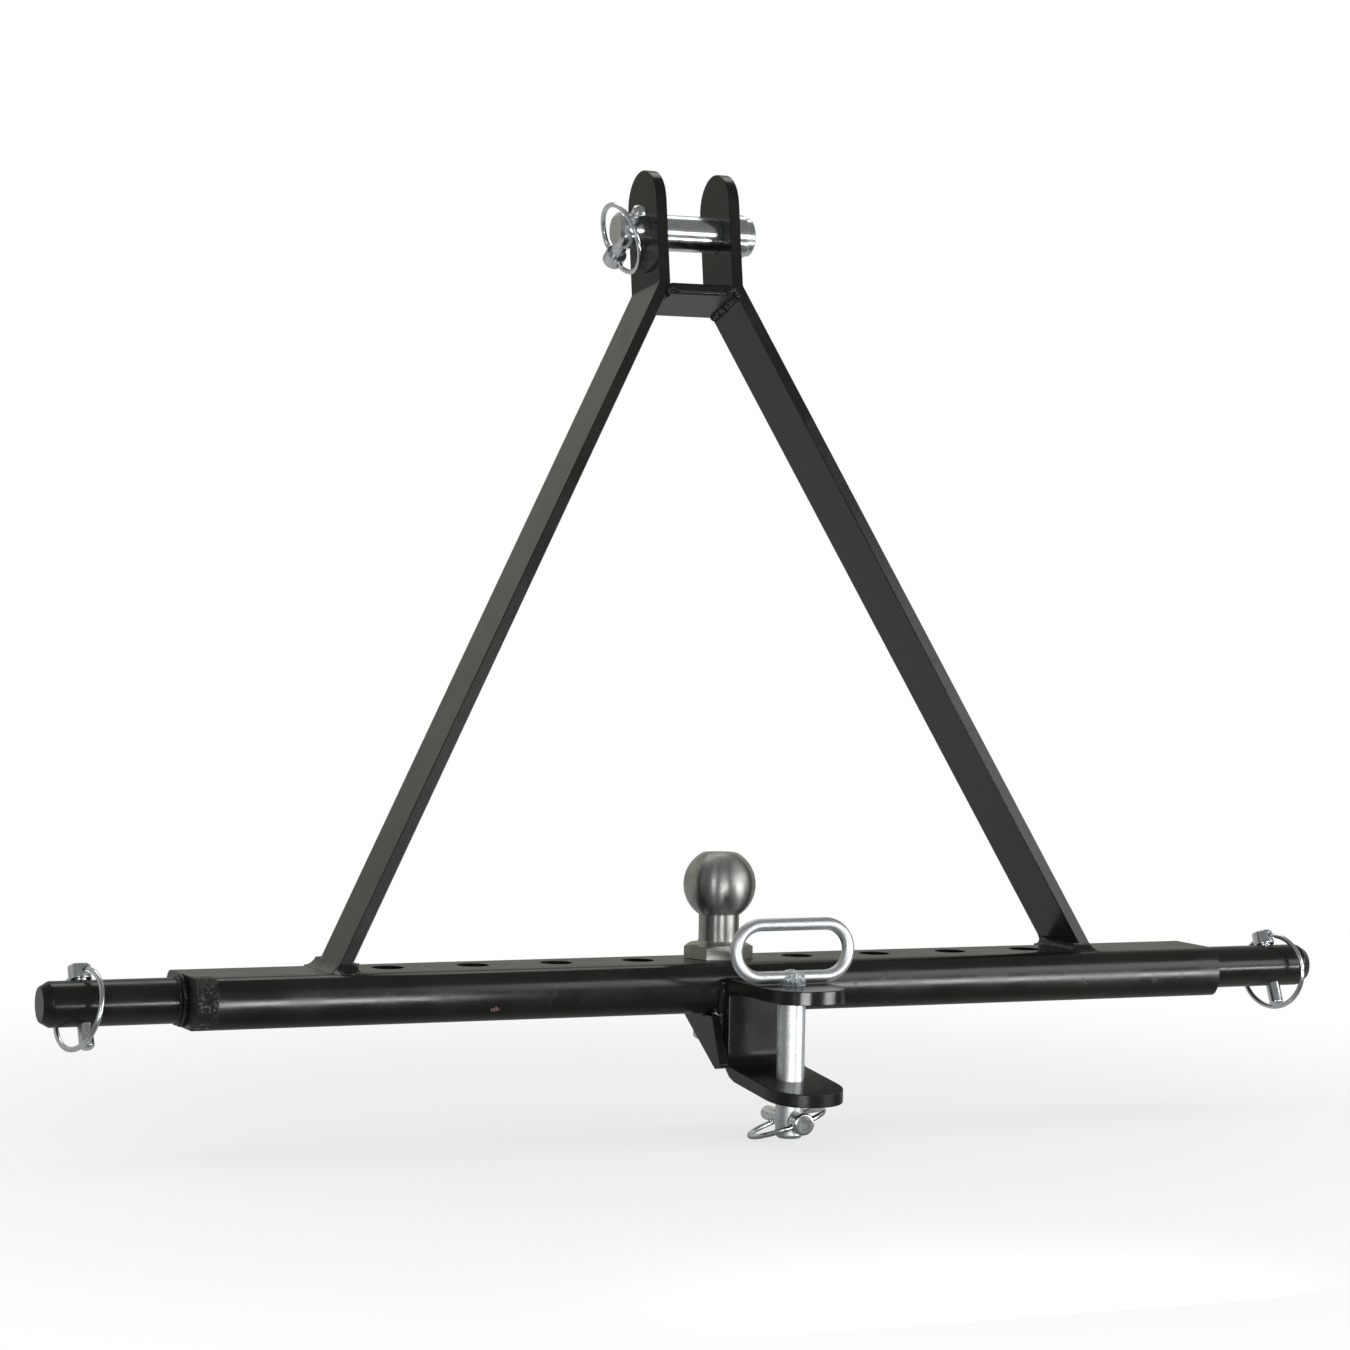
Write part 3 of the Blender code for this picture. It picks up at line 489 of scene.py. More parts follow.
class Nodes:
    """Short calls for making and joining the nodes of a tree."""

    def __init__(self, tree):
        self.tree = tree

    def feed(self, socket, value):
        """Give a socket a plain value or another node's output."""
        if isinstance(value, bpy.types.NodeSocket):
            self.tree.links.new(value, socket)
        else:
            socket.default_value = value

    def node(self, kind, inputs=None, **settings):
        """A node with its settings, and its inputs fed by name or by number."""
        node = self.tree.nodes.new(kind)
        for key, value in settings.items():
            setattr(node, key, value)
        for key, value in (inputs or {}).items():
            self.feed(node.inputs[key], value)
        return node

    def math(self, operation, first, second=0.0):
        node = self.node("ShaderNodeMath", {0: first, 1: second}, operation=operation)
        return node.outputs["Value"]

    def add(self, first, second):
        return self.math("ADD", first, second)

    def times(self, first, second):
        return self.math("MULTIPLY", first, second)

    def span(self, value, low, high, out_low=0.0, out_high=1.0):
        """Value taken smoothly from one range to another, clamped."""
        inputs = {
            "Value": value,
            "From Min": low,
            "From Max": high,
            "To Min": out_low,
            "To Max": out_high,
        }
        node = self.node("ShaderNodeMapRange", inputs, clamp=True, interpolation_type="SMOOTHSTEP")
        return node.outputs["Result"]

    def mix(self, factor, first, second):
        """Mix of two colours."""
        colours = [(*end, 1.0) if isinstance(end, tuple) else end for end in (first, second)]
        inputs = {"Factor": factor, 6: colours[0], 7: colours[1]}
        return self.node("ShaderNodeMix", inputs, data_type="RGBA").outputs[2]

    def parts(self, vector):
        return self.node("ShaderNodeSeparateXYZ", {"Vector": vector}).outputs

    def rays(self):
        """Outputs that are 1 on the camera's rays, and 1 on mirrored or refracted rays."""
        paths = self.node("ShaderNodeLightPath").outputs
        shiny = self.math("MAXIMUM", paths["Is Glossy Ray"], paths["Is Transmission Ray"])
        return paths["Is Camera Ray"], shiny


class Finish(Nodes):
    """A material on the Principled shader, patterned on Object coordinates."""

    def __init__(self, name, colour, roughness, metallic=0.0):
        self.material = bpy.data.materials.new(name)
        self.material.use_nodes = True
        super().__init__(self.material.node_tree)
        self.shader = self.tree.nodes["Principled BSDF"]
        self.shader.inputs["Base Color"].default_value = (*colour, 1.0)
        self.shader.inputs["Roughness"].default_value = roughness
        self.shader.inputs["Metallic"].default_value = metallic
        self.place = self.node("ShaderNodeTexCoord").outputs["Object"]

    def noise(self, size, detail=2.0, roughness=0.5, stretch=None):
        """Noise whose lumps are about as wide as size, in metres."""
        place = self.place
        if stretch is not None:
            mapping = self.node(
                "ShaderNodeMapping", {"Scale": stretch, "Vector": place}, vector_type="POINT"
            )
            place = mapping.outputs["Vector"]
        inputs = {"Scale": 1.0 / size, "Detail": detail, "Roughness": roughness, "Vector": place}
        return self.node("ShaderNodeTexNoise", inputs, noise_dimensions="3D").outputs["Fac"]

    def bump(self, height, depth, below=None):
        inputs = {"Strength": 1.0, "Distance": depth, "Height": height}
        if below is not None:
            inputs["Normal"] = below
        return self.node("ShaderNodeBump", inputs).outputs["Normal"]

    def coat(self, colour, roughness, normal):
        """Feed the shader's colour, roughness and normal, and give the material."""
        self.feed(self.shader.inputs["Base Color"], colour)
        self.feed(self.shader.inputs["Roughness"], roughness)
        self.feed(self.shader.inputs["Normal"], normal)
        return self.material


def tinted(colour, *shares):
    """Colour with each channel multiplied by its share, or all by the one share."""
    shares = shares if len(shares) == 3 else shares * 3
    return tuple(min(1.0, channel * share) for channel, share in zip(colour, shares))


def make_paint(settings, name="Black gloss paint", marked=False):
    """Sprayed black paint: soft ripples, faint handling marks and dust nibs."""
    colour = tuple(settings.colour)
    base = settings.roughness
    finish = Finish(name, colour, base)
    cloud = finish.noise(0.045, 3.0, 0.6)
    marks = finish.noise(0.012, 4.0, 0.65)
    shade_of = finish.mix(finish.span(cloud, 0.35, 0.7), colour, tinted(colour, 1.35))
    spread = finish.span(cloud, 0.3, 0.7, base - 0.03, base + 0.05)
    gloss = finish.add(spread, finish.span(marks, 0.56, 0.72, 0.0, 0.10))
    peel = finish.noise(settings.peel_size, 2.0, 0.5)
    nibs = finish.span(finish.noise(settings.peel_size / 2.5, 1.0), 0.70, 0.80)
    ripples = finish.bump(peel, settings.peel_depth)
    surface = finish.bump(nibs, settings.peel_depth * 0.5, ripples)
    if marked:
        shade_of, gloss, surface = bar_marks(finish, shade_of, gloss, surface)
    return finish.coat(shade_of, gloss, surface)


def bar_marks(finish, shade_of, gloss, surface):
    """A pitted patch at the bar's left end and a small chip on its front, as photographed."""
    x, y, z = finish.parts(finish.place)
    front = finish.span(y, -0.024, -0.018, 1.0, 0.0)
    wander = finish.times(finish.noise(0.006, 2.0), 0.002)
    edge = finish.span(finish.add(x, wander), -0.3700, -0.3682, 1.0, 0.0)
    patch = finish.times(edge, front)
    pits = finish.noise(0.0016, 3.0, 0.75)
    blotch = finish.span(finish.noise(0.010, 3.0, 0.6), 0.42, 0.58)
    speck = finish.times(patch, finish.span(pits, 0.53, 0.62))
    shade_of = finish.mix(patch, shade_of, PITTED_PATCH)
    shade_of = finish.mix(finish.times(speck, blotch), shade_of, BARE_SPECKS)
    gloss = finish.add(gloss, finish.times(patch, 0.07))
    deep = finish.times(patch, finish.span(pits, 0.35, 0.7))
    surface = finish.bump(deep, 0.0007, surface)

    reach = 0.0
    for way, from_middle, half in ((x, 0.1785, 0.0042), (z, 0.0085, 0.0024)):
        out = finish.math("DIVIDE", finish.add(way, from_middle), half)
        reach = finish.add(reach, finish.math("POWER", out, 2.0))
    rough_edge = finish.span(finish.noise(0.0016, 3.0, 0.7), 0.3, 0.7, 0.0, 1.3)
    ragged = finish.add(reach, rough_edge)
    chip = finish.times(finish.span(ragged, 0.75, 1.05, 1.0, 0.0), front)
    shade_of = finish.mix(chip, shade_of, CHIP)
    gloss = finish.add(gloss, finish.times(chip, 0.25))
    return shade_of, gloss, surface


def make_weld_paint(settings):
    """The same paint, thinner and glossier, over the lumps of a weld."""
    colour = tuple(settings.colour)
    base = settings.roughness * 0.7
    finish = Finish("Painted weld", colour, base)
    marks = finish.noise(0.003, 3.0, 0.6)
    lumps = finish.bump(finish.noise(0.0022, 2.0, 0.6), 0.0003)
    return finish.coat(
        finish.mix(finish.span(marks, 0.4, 0.75), colour, tinted(colour, 1.6)),
        finish.span(marks, 0.3, 0.7, base - 0.03, base + 0.08),
        finish.bump(finish.noise(0.0006, 2.0), 0.00005, lumps),
    )


def make_zinc(settings, name, roughness, grain):
    """Zinc plate: cloudy sheen, a faint cool tint and a grain of fine crystals."""
    colour = tuple(settings.zinc_colour)
    finish = Finish(name, colour, roughness, 1.0)
    cloud = finish.noise(0.007, 3.0, 0.6)
    speckle = finish.noise(0.0009, 2.0, 0.7)
    cool = finish.mix(finish.span(cloud, 0.40, 0.75), colour, tinted(colour, 0.80, 0.86, 0.86))
    spread = finish.span(cloud, 0.3, 0.75, roughness - 0.05, roughness + 0.07)
    dusty = finish.span(speckle, 0.4, 0.8, 0.0, 0.12 * grain)
    ripples = finish.bump(finish.noise(0.004, 2.0, 0.5), 0.00004)
    return finish.coat(
        finish.mix(finish.span(speckle, 0.46, 0.66, 0.0, grain), cool, tinted(colour, 0.68)),
        finish.add(spread, dusty),
        finish.bump(speckle, 0.00003 * grain, ripples),
    )


def make_steel(settings):
    """Plain turned steel with fine lathe rings about Z and a thin brownish film."""
    colour = tuple(settings.steel_colour)
    base = settings.steel_roughness
    finish = Finish("Turned steel", colour, base, 1.0)
    film = finish.noise(0.011, 3.0, 0.6)
    rings = finish.noise(settings.tool_mark, 3.0, 0.6, (0.02, 0.02, 1.0))
    spread = finish.span(rings, 0.3, 0.7, base - 0.05, base + 0.07)
    finish.shader.inputs["Anisotropic"].default_value = settings.steel_streak
    finish.shader.inputs["Anisotropic Rotation"].default_value = 0.25
    round_z = finish.node(
        "ShaderNodeVectorMath", {0: finish.place, 1: (0.0, 0.0, -1.0)}, operation="CROSS_PRODUCT"
    )
    finish.feed(finish.shader.inputs["Tangent"], round_z.outputs["Vector"])
    return finish.coat(
        finish.mix(finish.span(film, 0.40, 0.72), colour, tinted(colour, 0.84, 0.83, 0.80)),
        finish.add(spread, finish.span(film, 0.45, 0.8, 0.0, 0.08)),
        finish.bump(rings, 0.000005),
    )


# The record's slot for the finishes whose own name isn't a slot
SLOTS = {"bar_paint": "black_paint", "satin_zinc": "zinc_plate", "bright_zinc": "zinc_plate"}


# Colours of the marks in the bar's paint
PITTED_PATCH = (0.006, 0.0065, 0.0075)
BARE_SPECKS = (0.16, 0.17, 0.18)
CHIP = (0.17, 0.095, 0.09)


class Palette:
    """The finishes, each made once and kept for the operators."""

    made = {}

    @classmethod
    def get(cls, name):
        if name not in cls.made:
            paint = bpy.context.scene.drawbar_paint
            metal = bpy.context.scene.drawbar_metal
            makers = {
                "black_paint": (make_paint, paint),
                "bar_paint": (make_paint, paint, "Marked black paint", True),
                "painted_weld": (make_weld_paint, paint),
                "satin_zinc": (make_zinc, metal, "Satin zinc plate", metal.satin_roughness, 0.9),
                "bright_zinc": (make_zinc, metal, "Bright zinc plate", metal.bright_roughness, 0.3),
                "turned_steel": (make_steel, metal),
            }
            maker, *given = makers[name]
            cls.made[name] = maker(*given)
        return cls.made[name]


def painted(node, finish="black_paint"):
    """A painted piece in the shape of its solid, its edges rounded."""
    piece = add_piece(f"{node}_painted", merged_copy(node), "frame", finish, (node,))
    soften(piece, bpy.context.scene.drawbar_paint.edge_radius, 3, 30)


# Weld beads


def weld_bead_tree():
    """Geometry nodes: a rippled bead along the edges of a path."""
    tree = bpy.data.node_groups.new("Weld bead", "GeometryNodeTree")
    tree.is_modifier = True
    face = tree.interface
    face.new_socket("Geometry", in_out="INPUT", socket_type="NodeSocketGeometry")
    for name in ("Radius", "Ripple pitch", "Ripple depth", "Unevenness", "Seed"):
        face.new_socket(name, in_out="INPUT", socket_type="NodeSocketFloat")
    face.new_socket("Material", in_out="INPUT", socket_type="NodeSocketMaterial")
    face.new_socket("Geometry", in_out="OUTPUT", socket_type="NodeSocketGeometry")
    nodes = Nodes(tree)
    given = nodes.node("NodeGroupInput").outputs
    path = nodes.node("GeometryNodeMeshToCurve", {"Mesh": given["Geometry"]}).outputs["Curve"]
    step = nodes.math("DIVIDE", given["Ripple pitch"], 8.0)
    points = nodes.node(
        "GeometryNodeResampleCurve", {"Curve": path, "Length": step}, mode="LENGTH"
    )
    along = nodes.node("GeometryNodeSplineParameter").outputs["Length"]
    turns = nodes.math("FRACT", nodes.math("DIVIDE", along, given["Ripple pitch"]))
    dip = nodes.times(nodes.math("POWER", turns, 0.6), given["Ripple depth"])
    ring = {"Resolution": 20, "Radius": given["Radius"]}
    inputs = {
        "Curve": points.outputs["Curve"],
        "Profile Curve": nodes.node("GeometryNodeCurvePrimitiveCircle", ring).outputs["Curve"],
        "Scale": nodes.math("SUBTRACT", 1.0, dip),
        "Fill Caps": True,
    }
    bead = nodes.node("GeometryNodeCurveToMesh", inputs)

    inputs = {"Scale": 260.0, "Detail": 2.0, "W": given["Seed"]}
    lumps = nodes.node("ShaderNodeTexNoise", inputs, noise_dimensions="4D").outputs["Fac"]
    out = nodes.times(nodes.math("SUBTRACT", lumps, 0.5), 2.0)
    push = nodes.times(out, given["Unevenness"])
    normal = nodes.node("GeometryNodeInputNormal").outputs["Normal"]
    offset = nodes.node("ShaderNodeVectorMath", {0: normal, "Scale": push}, operation="SCALE")
    inputs = {"Geometry": bead.outputs["Mesh"], "Offset": offset.outputs["Vector"]}
    moved = nodes.node("GeometryNodeSetPosition", inputs).outputs["Geometry"]
    whole = nodes.node("GeometryNodeRealizeInstances", {"Geometry": moved}).outputs["Geometry"]
    inputs = {"Geometry": whole, "Material": given["Material"]}
    coat = nodes.node("GeometryNodeSetMaterial", inputs).outputs["Geometry"]
    nodes.node("NodeGroupOutput", {"Geometry": coat})
    return tree


def set_inputs(modifier, **values):
    """Set a geometry nodes modifier's inputs by their sockets' identifiers."""
    sockets = {
        item.name: item.identifier
        for item in modifier.node_group.interface.items_tree
        if item.item_type == "SOCKET" and item.in_out == "INPUT"
    }
    for name, value in values.items():
        modifier[sockets[name.replace("_", " ").capitalize()]] = value


def weld_bead(name, path, radius, stands_for=(), uneven=1.0, cyclic=False):
    """Rippled bead along a path of points."""
    settings = bpy.context.scene.drawbar_weld
    line = bpy.data.meshes.new(name)
    edges = [(index, index + 1) for index in range(len(path) - 1)]
    if cyclic:
        edges.append((len(path) - 1, 0))
    line.from_pydata([tuple(point) for point in path], edges, [])
    guide = bpy.data.objects.new(name, line)
    modifier = guide.modifiers.new("Weld bead", "NODES")
    modifier.node_group = bpy.data.node_groups.get("Weld bead") or weld_bead_tree()
    set_inputs(
        modifier,
        radius=radius,
        ripple_pitch=settings.ripple_pitch,
        ripple_depth=settings.ripple_depth,
        unevenness=uneven * settings.unevenness * radius / BEAD_RADIUS,
        seed=float(settings.seed),
        material=Palette.get("painted_weld"),
    )
    piece = add_piece(name, plain_mesh(guide), "frame", "painted_weld", stands_for)
    piece.data.shade_smooth()


def circle_path(centre, normal, across, radius):
    """Points round a circle."""
    place = standing(centre, normal, across)
    return [
        place @ Vector((radius * math.cos(angle), radius * math.sin(angle), 0.0))
        for angle in spread(0.0, 2 * math.pi, CIRCLE_STEPS)[:-1]
    ]


# Operators


class DRAWBAR_OT_cross_bar(bpy.types.Operator):
    """Make the drilled cross bar"""

    bl_idname = "drawbar.cross_bar"
    bl_label = "Cross bar"
    bl_options = {"REGISTER", "UNDO"}

    def execute(self, context):
        painted("cross_bar", "bar_paint")
        return {"FINISHED"}


class DRAWBAR_OT_a_frame(bpy.types.Operator):
    """Make the two bent side rails and the crosspiece between them"""

    bl_idname = "drawbar.a_frame"
    bl_label = "A-frame"
    bl_options = {"REGISTER", "UNDO"}

    def execute(self, context):
        for node in ("left_side_rail", "right_side_rail"):
            painted(node)
        name = "top_crosspiece"
        piece = add_piece(f"{name}_painted", self.plate(name), "frame", "black_paint", (name,))
        soften(piece, 3.5 * context.scene.drawbar_paint.edge_radius, 3, 30)
        return {"FINISHED"}

    @staticmethod
    def plate(name):
        """Plate whose ends follow the rails and whose rear edge hangs lower than its front."""
        ends = []
        for side in (-1, 1):
            end = []
            for across, drop, under in ((-1, 0, 0), (1, 1, 0), (1, 1, 1), (-1, 0, 1)):
                along = BEND_HEIGHT + GAP - drop * PLATE_DROP - under * FLAT_THICKNESS
                x = side * (rail_inner_face(along) - GAP)
                end.append(on_frame(x, across * FLAT_WIDTH / 2, along))
            ends.append(end)
        return loft(name, ends)


class DRAWBAR_OT_jaw(bpy.types.Operator):
    """Make the clevis jaw and the two gussets that brace it"""

    bl_idname = "drawbar.jaw"
    bl_label = "Clevis jaw"
    bl_options = {"REGISTER", "UNDO"}

    def execute(self, context):
        for node in ("clevis_jaw", "left_gusset", "right_gusset"):
            painted(node)
        return {"FINISHED"}


class DRAWBAR_OT_link_pins(bpy.types.Operator):
    """Make the two painted lower link pins, each drilled for its linchpin"""

    bl_idname = "drawbar.link_pins"
    bl_label = "Lower link pins"
    bl_options = {"REGISTER", "UNDO"}

    chamfer: length_setting("Chamfer", "How far the end's chamfer takes in the radius", 0.0035)
    chamfer_length: length_setting(
        "Chamfer length", "Length of the end's chamfer along the pin", 0.006
    )

    def execute(self, context):
        for name in ("left", "right"):
            fit = LINCHPINS[name]
            node = f"{name}_link_pin"
            low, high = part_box(node)
            length = high.x - low.x
            radius = (high.z - low.z) / 2
            root = Vector((low.x if fit.free_end.x > 0 else high.x, 0.0, 0.0))
            profile = rounded(
                (0.0, length, 0.0),
                (radius - self.chamfer, length, 0.0007),
                (radius, length - self.chamfer_length, 0.003),
                (radius, 0.0, 0.0),
                (0.0, 0.0, 0.0),
            )
            place = standing(root, fit.free_end, Y_AXIS)
            drilled_pin(fit, node, "painted", profile, place, "black_paint", LINK_PIN_EDGE)
        return {"FINISHED"}


def drilled_pin(fit, node, kind, profile, place, finish, edge):
    """Turned pin with the hole for its linchpin, on the linchpin's body."""
    mesh = cut(turned(node, profile, place), peg_hole(fit))
    piece = add_piece(f"{node}_{kind}", mesh, fit.body, finish, (node,))
    soften(piece, edge)


def peg_hole(fit):
    """Cutter for the hole that a linchpin's peg goes through."""
    crossing = fit.hinge - fit.reach * fit.head_way
    place = standing(crossing, fit.head_way, fit.hinge_way)
    return cylinder("peg_hole", PEG_DIAMETER + 2 * HOLE_CLEARANCE, 2 * fit.length, place)


class DRAWBAR_OT_top_pin(bpy.types.Operator):
    """Make the top link pin with its stepped head"""

    bl_idname = "drawbar.top_pin"
    bl_label = "Top link pin"
    bl_options = {"REGISTER", "UNDO"}

    diameter: length_setting("Diameter", "Diameter of the pin", 0.0254)
    boss_diameter: length_setting("Boss diameter", "Diameter of the step outside the head", 0.027)
    boss_length: length_setting("Boss length", "Length of the step outside the head", 0.0055)
    head_length: length_setting("Head length", "Length of the head", 0.012)
    chamfer: length_setting("Chamfer", "Chamfer of the pin's free end", 0.0024)

    def execute(self, context):
        low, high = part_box("top_link_pin")
        axis = Vector(JOINTS["top_pin_spin"]["pos_m"])
        head = (high.z - low.z) / 2
        length = high.x - low.x
        shoulder = self.boss_length
        seat = shoulder + self.head_length
        radius = self.diameter / 2
        boss = self.boss_diameter / 2
        profile = rounded(
            (0.0, length, 0.0),
            (radius - self.chamfer, length, 0.0003),
            (radius, length - self.chamfer, 0.0003),
            (radius, seat, 0.0),
            (head, seat, 0.0005),
            (head, shoulder, 0.0012),
            (boss, shoulder, 0.0004),
            (boss, 0.0, 0.0016),
            (0.0, 0.0, 0.0),
        )
        place = standing(Vector((high.x, axis.y, axis.z)), -X_AXIS, Y_AXIS)
        fit = LINCHPINS["top"]
        drilled_pin(fit, "top_link_pin", "plated", profile, place, "bright_zinc", PIN_EDGE)
        return {"FINISHED"}


class DRAWBAR_OT_tow_ball(bpy.types.Operator):
    """Make the tow ball with its neck, flange and threaded shank"""

    bl_idname = "drawbar.tow_ball"
    bl_label = "Tow ball"
    bl_options = {"REGISTER", "UNDO"}

    flat_diameter: length_setting(
        "Flat diameter", "Diameter of the flat on the ball's crown", 0.0235
    )
    diameter: length_setting("Ball diameter", "Diameter of the ball", 0.050)
    neck_diameter: length_setting("Neck diameter", "Diameter of the neck under the ball", 0.028)
    flange_across_flats: length_setting(
        "Flange across flats", "Size of the hexagonal flange", 0.042
    )
    flange_thickness: length_setting(
        "Flange thickness", "Thickness of the hexagonal flange", 0.010
    )
    flange_turn: angle_setting(
        "Flange turn", "Turn of the flange's front flat about the shank", math.radians(14)
    )
    shank_diameter: length_setting(
        "Shank diameter", "Diameter of the shank through the bar", 0.019
    )
    thread_pitch: length_setting(
        "Thread pitch", "Distance between the thread's turns on the shank", 0.0025
    )

    def execute(self, context):
        low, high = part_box("tow_ball")
        bar_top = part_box("cross_bar")[1].z + GAP
        radius = self.diameter / 2
        neck = self.neck_diameter / 2
        shank = self.shank_diameter / 2
        flange_top = bar_top + self.flange_thickness
        top_angle = math.asin(self.flat_diameter / self.diameter)
        centre = high.z - radius * math.cos(top_angle)
        throat = math.pi - math.asin((neck + 0.0008) / radius)
        first = top_angle + 0.02
        profile = [(0.0, high.z), (radius * math.sin(top_angle) - 0.0006, high.z)]
        for angle in spread(first, throat, BALL_ROWS):
            profile.append((radius * math.sin(angle), centre + radius * math.cos(angle)))
        core = shank - 0.0006
        inside_flange = bar_top + 0.002
        seat = neck + 0.004
        lower = rounded(
            (neck, profile[-1][1], 0.0),
            (neck, flange_top, 0.0028),
            (seat, flange_top, 0.0),
            (seat, inside_flange, 0.0),
        )
        profile += [tuple(point) for point in lower]
        profile += [(core, inside_flange), (core, low.z), (0.0, low.z)]
        mesh = cut(turned("tow_ball", profile, Matrix()), self.flange(bar_top), "UNION")
        piece = add_piece("tow_ball_turned", mesh, "frame", "turned_steel", ("tow_ball",))
        soften(piece, BALL_EDGE, angle=38)
        self.add_thread(low.z, bar_top)
        return {"FINISHED"}

    def flange(self, bar_top):
        """Hexagonal prism with its upper corners turned down."""
        corner = self.flange_across_flats / 2 / math.cos(math.pi / 6)
        turn = -math.pi / 2 - self.flange_turn
        place = Matrix.Translation((0.0, 0.0, bar_top + self.flange_thickness / 2))
        shape = prism(corner, self.flange_thickness, 6)
        shape.verts.ensure_lookup_table()
        vertex_angle = math.atan2(shape.verts[0].co.y, shape.verts[0].co.x)
        spin = turn + math.pi / 6 - vertex_angle
        shape.transform(place @ Matrix.Rotation(spin, 4, "Z"))
        hexagon = mesh_from(shape, "flange")
        face = 0.485 * self.flange_across_flats
        drop = (corner + GAP - face) * math.tan(math.radians(30))
        profile = [
            (0.0, self.flange_thickness + 0.001),
            (face, self.flange_thickness + 0.001),
            (face, self.flange_thickness),
            (corner + GAP, self.flange_thickness - drop),
            (corner + GAP, -0.001),
            (0.0, -0.001),
        ]
        lathe = turned("flange_chamfer", profile, Matrix.Translation((0.0, 0.0, bar_top)))
        return cut(hexagon, lathe, "INTERSECT")

    def add_thread(self, bottom, top):
        """Helical ridge round the shank."""
        steps = 36
        core = self.shank_diameter / 2 - 0.0009
        crest = self.shank_diameter / 2
        half = self.thread_pitch * 0.40
        turns = (top - bottom - 0.004) / self.thread_pitch
        count = int(turns * steps)
        section = [(core, -half), (crest, -half * 0.25), (crest, half * 0.25), (core, half)]
        rings = []
        for index in range(count + 1):
            angle = 2 * math.pi * index / steps
            height = bottom + 0.0016 + self.thread_pitch * index / steps
            fade = min(1.0, index / steps / 0.6, (count - index) / steps / 0.6)
            ring = []
            for radius, rise in section:
                out = core + (radius - core) * max(fade, 0.02)
                ring.append((out * math.cos(angle), out * math.sin(angle), height + rise))
            rings.append(ring)
        add_piece("shank_thread", loft("shank_thread", rings), "frame", "turned_steel")


class DRAWBAR_OT_ball_fasteners(bpy.types.Operator):
    """Make the spring washer and the nut under the bar"""

    bl_idname = "drawbar.ball_fasteners"
    bl_label = "Washer and nut"
    bl_options = {"REGISTER", "UNDO"}

    def execute(self, context):
        for node in ("ball_spring_washer", "ball_nut"):
            mesh = merged_copy(node)
            piece = add_piece(f"{node}_plated", mesh, "frame", "satin_zinc", (node,))
            soften(piece, LINK_PIN_EDGE, angle=30)
        return {"FINISHED"}


class DRAWBAR_OT_drop_pin(bpy.types.Operator):
    """Make the drop pin, its oval handle and the weld between them"""

    bl_idname = "drawbar.drop_pin"
    bl_label = "Drop pin and handle"
    bl_options = {"REGISTER", "UNDO"}

    rod: length_setting("Handle rod", "Diameter of the handle's rod", 0.0085)
    chamfer: length_setting("Chamfer", "Chamfer of the drop pin's lower end", 0.002)

    def execute(self, context):
        axis = Vector(JOINTS["drop_pin_spin"]["pos_m"])
        low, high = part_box("drop_pin")
        radius = (high.x - low.x) / 2
        height = high.z - low.z
        profile = rounded(
            (0.0, height, 0.0),
            (radius, height, 0.0006),
            (radius, self.chamfer, 0.0012),
            (radius - self.chamfer, 0.0, 0.0006),
            (0.0, 0.0, 0.0),
        )
        place = Matrix.Translation((axis.x, axis.y, low.z))
        fit = LINCHPINS["drop"]
        drilled_pin(fit, "drop_pin", "plated", profile, place, "satin_zinc", PIN_EDGE)
        self.add_handle(axis)
        self.add_weld(axis)
        return {"FINISHED"}

    def add_handle(self, axis):
        low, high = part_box("drop_pin_handle")
        bend = (high.z - low.z - self.rod) / 2
        straight = (high.x - low.x - self.rod) / 2 - bend
        path = []
        for side, start in ((1, -math.pi / 2), (-1, math.pi / 2)):
            for angle in spread(start, start + math.pi, HANDLE_BEND_STEPS):
                path.append((side * straight + bend * math.cos(angle), bend * math.sin(angle)))
        middle = Vector(((low.x + high.x) / 2, axis.y, (low.z + high.z) / 2))
        place = standing(middle, -Y_AXIS, X_AXIS)
        mesh = tube("drop_pin_handle", path, self.rod, place, cyclic=True, sides=12)
        add_piece("handle_plated", mesh, "drop_pin", "satin_zinc", ("drop_pin_handle",))

    def add_weld(self, axis):
        """Lumpy bead round the foot of the handle, on the pin's top."""
        low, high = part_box("handle_front_weld")
        seat = low.z
        middle = Vector((axis.x, axis.y, seat + 0.0026))
        size = Vector((high.x - low.x + 0.002, 2 * (axis.y - low.y) + 0.001, 0.0125))
        shape = bmesh.new()
        bmesh.ops.create_icosphere(shape, subdivisions=5, radius=0.5)
        for vert in shape.verts:
            way = vert.co.normalized()
            lump = noise.noise(way * 2.3 + Vector((3.1, 0.0, 0.0)))
            fine = noise.noise(way * 6.5 + Vector((0.0, 5.2, 0.0)))
            grit = abs(noise.noise(way * 11.0 + Vector((1.7, 2.2, 0.0))))
            vert.co = way * 0.5 * (0.94 + 0.26 * lump + 0.16 * fine + 0.10 * grit)
            vert.co = Vector((a * b for a, b in zip(vert.co, size))) + middle
            vert.co.z = max(vert.co.z, seat)
        mesh = mesh_from(shape, "handle_weld")
        replaced = ("handle_front_weld", "handle_rear_weld")
        piece = add_piece("handle_weld_bead", mesh, "drop_pin", "satin_zinc", replaced)
        piece.data.shade_smooth()


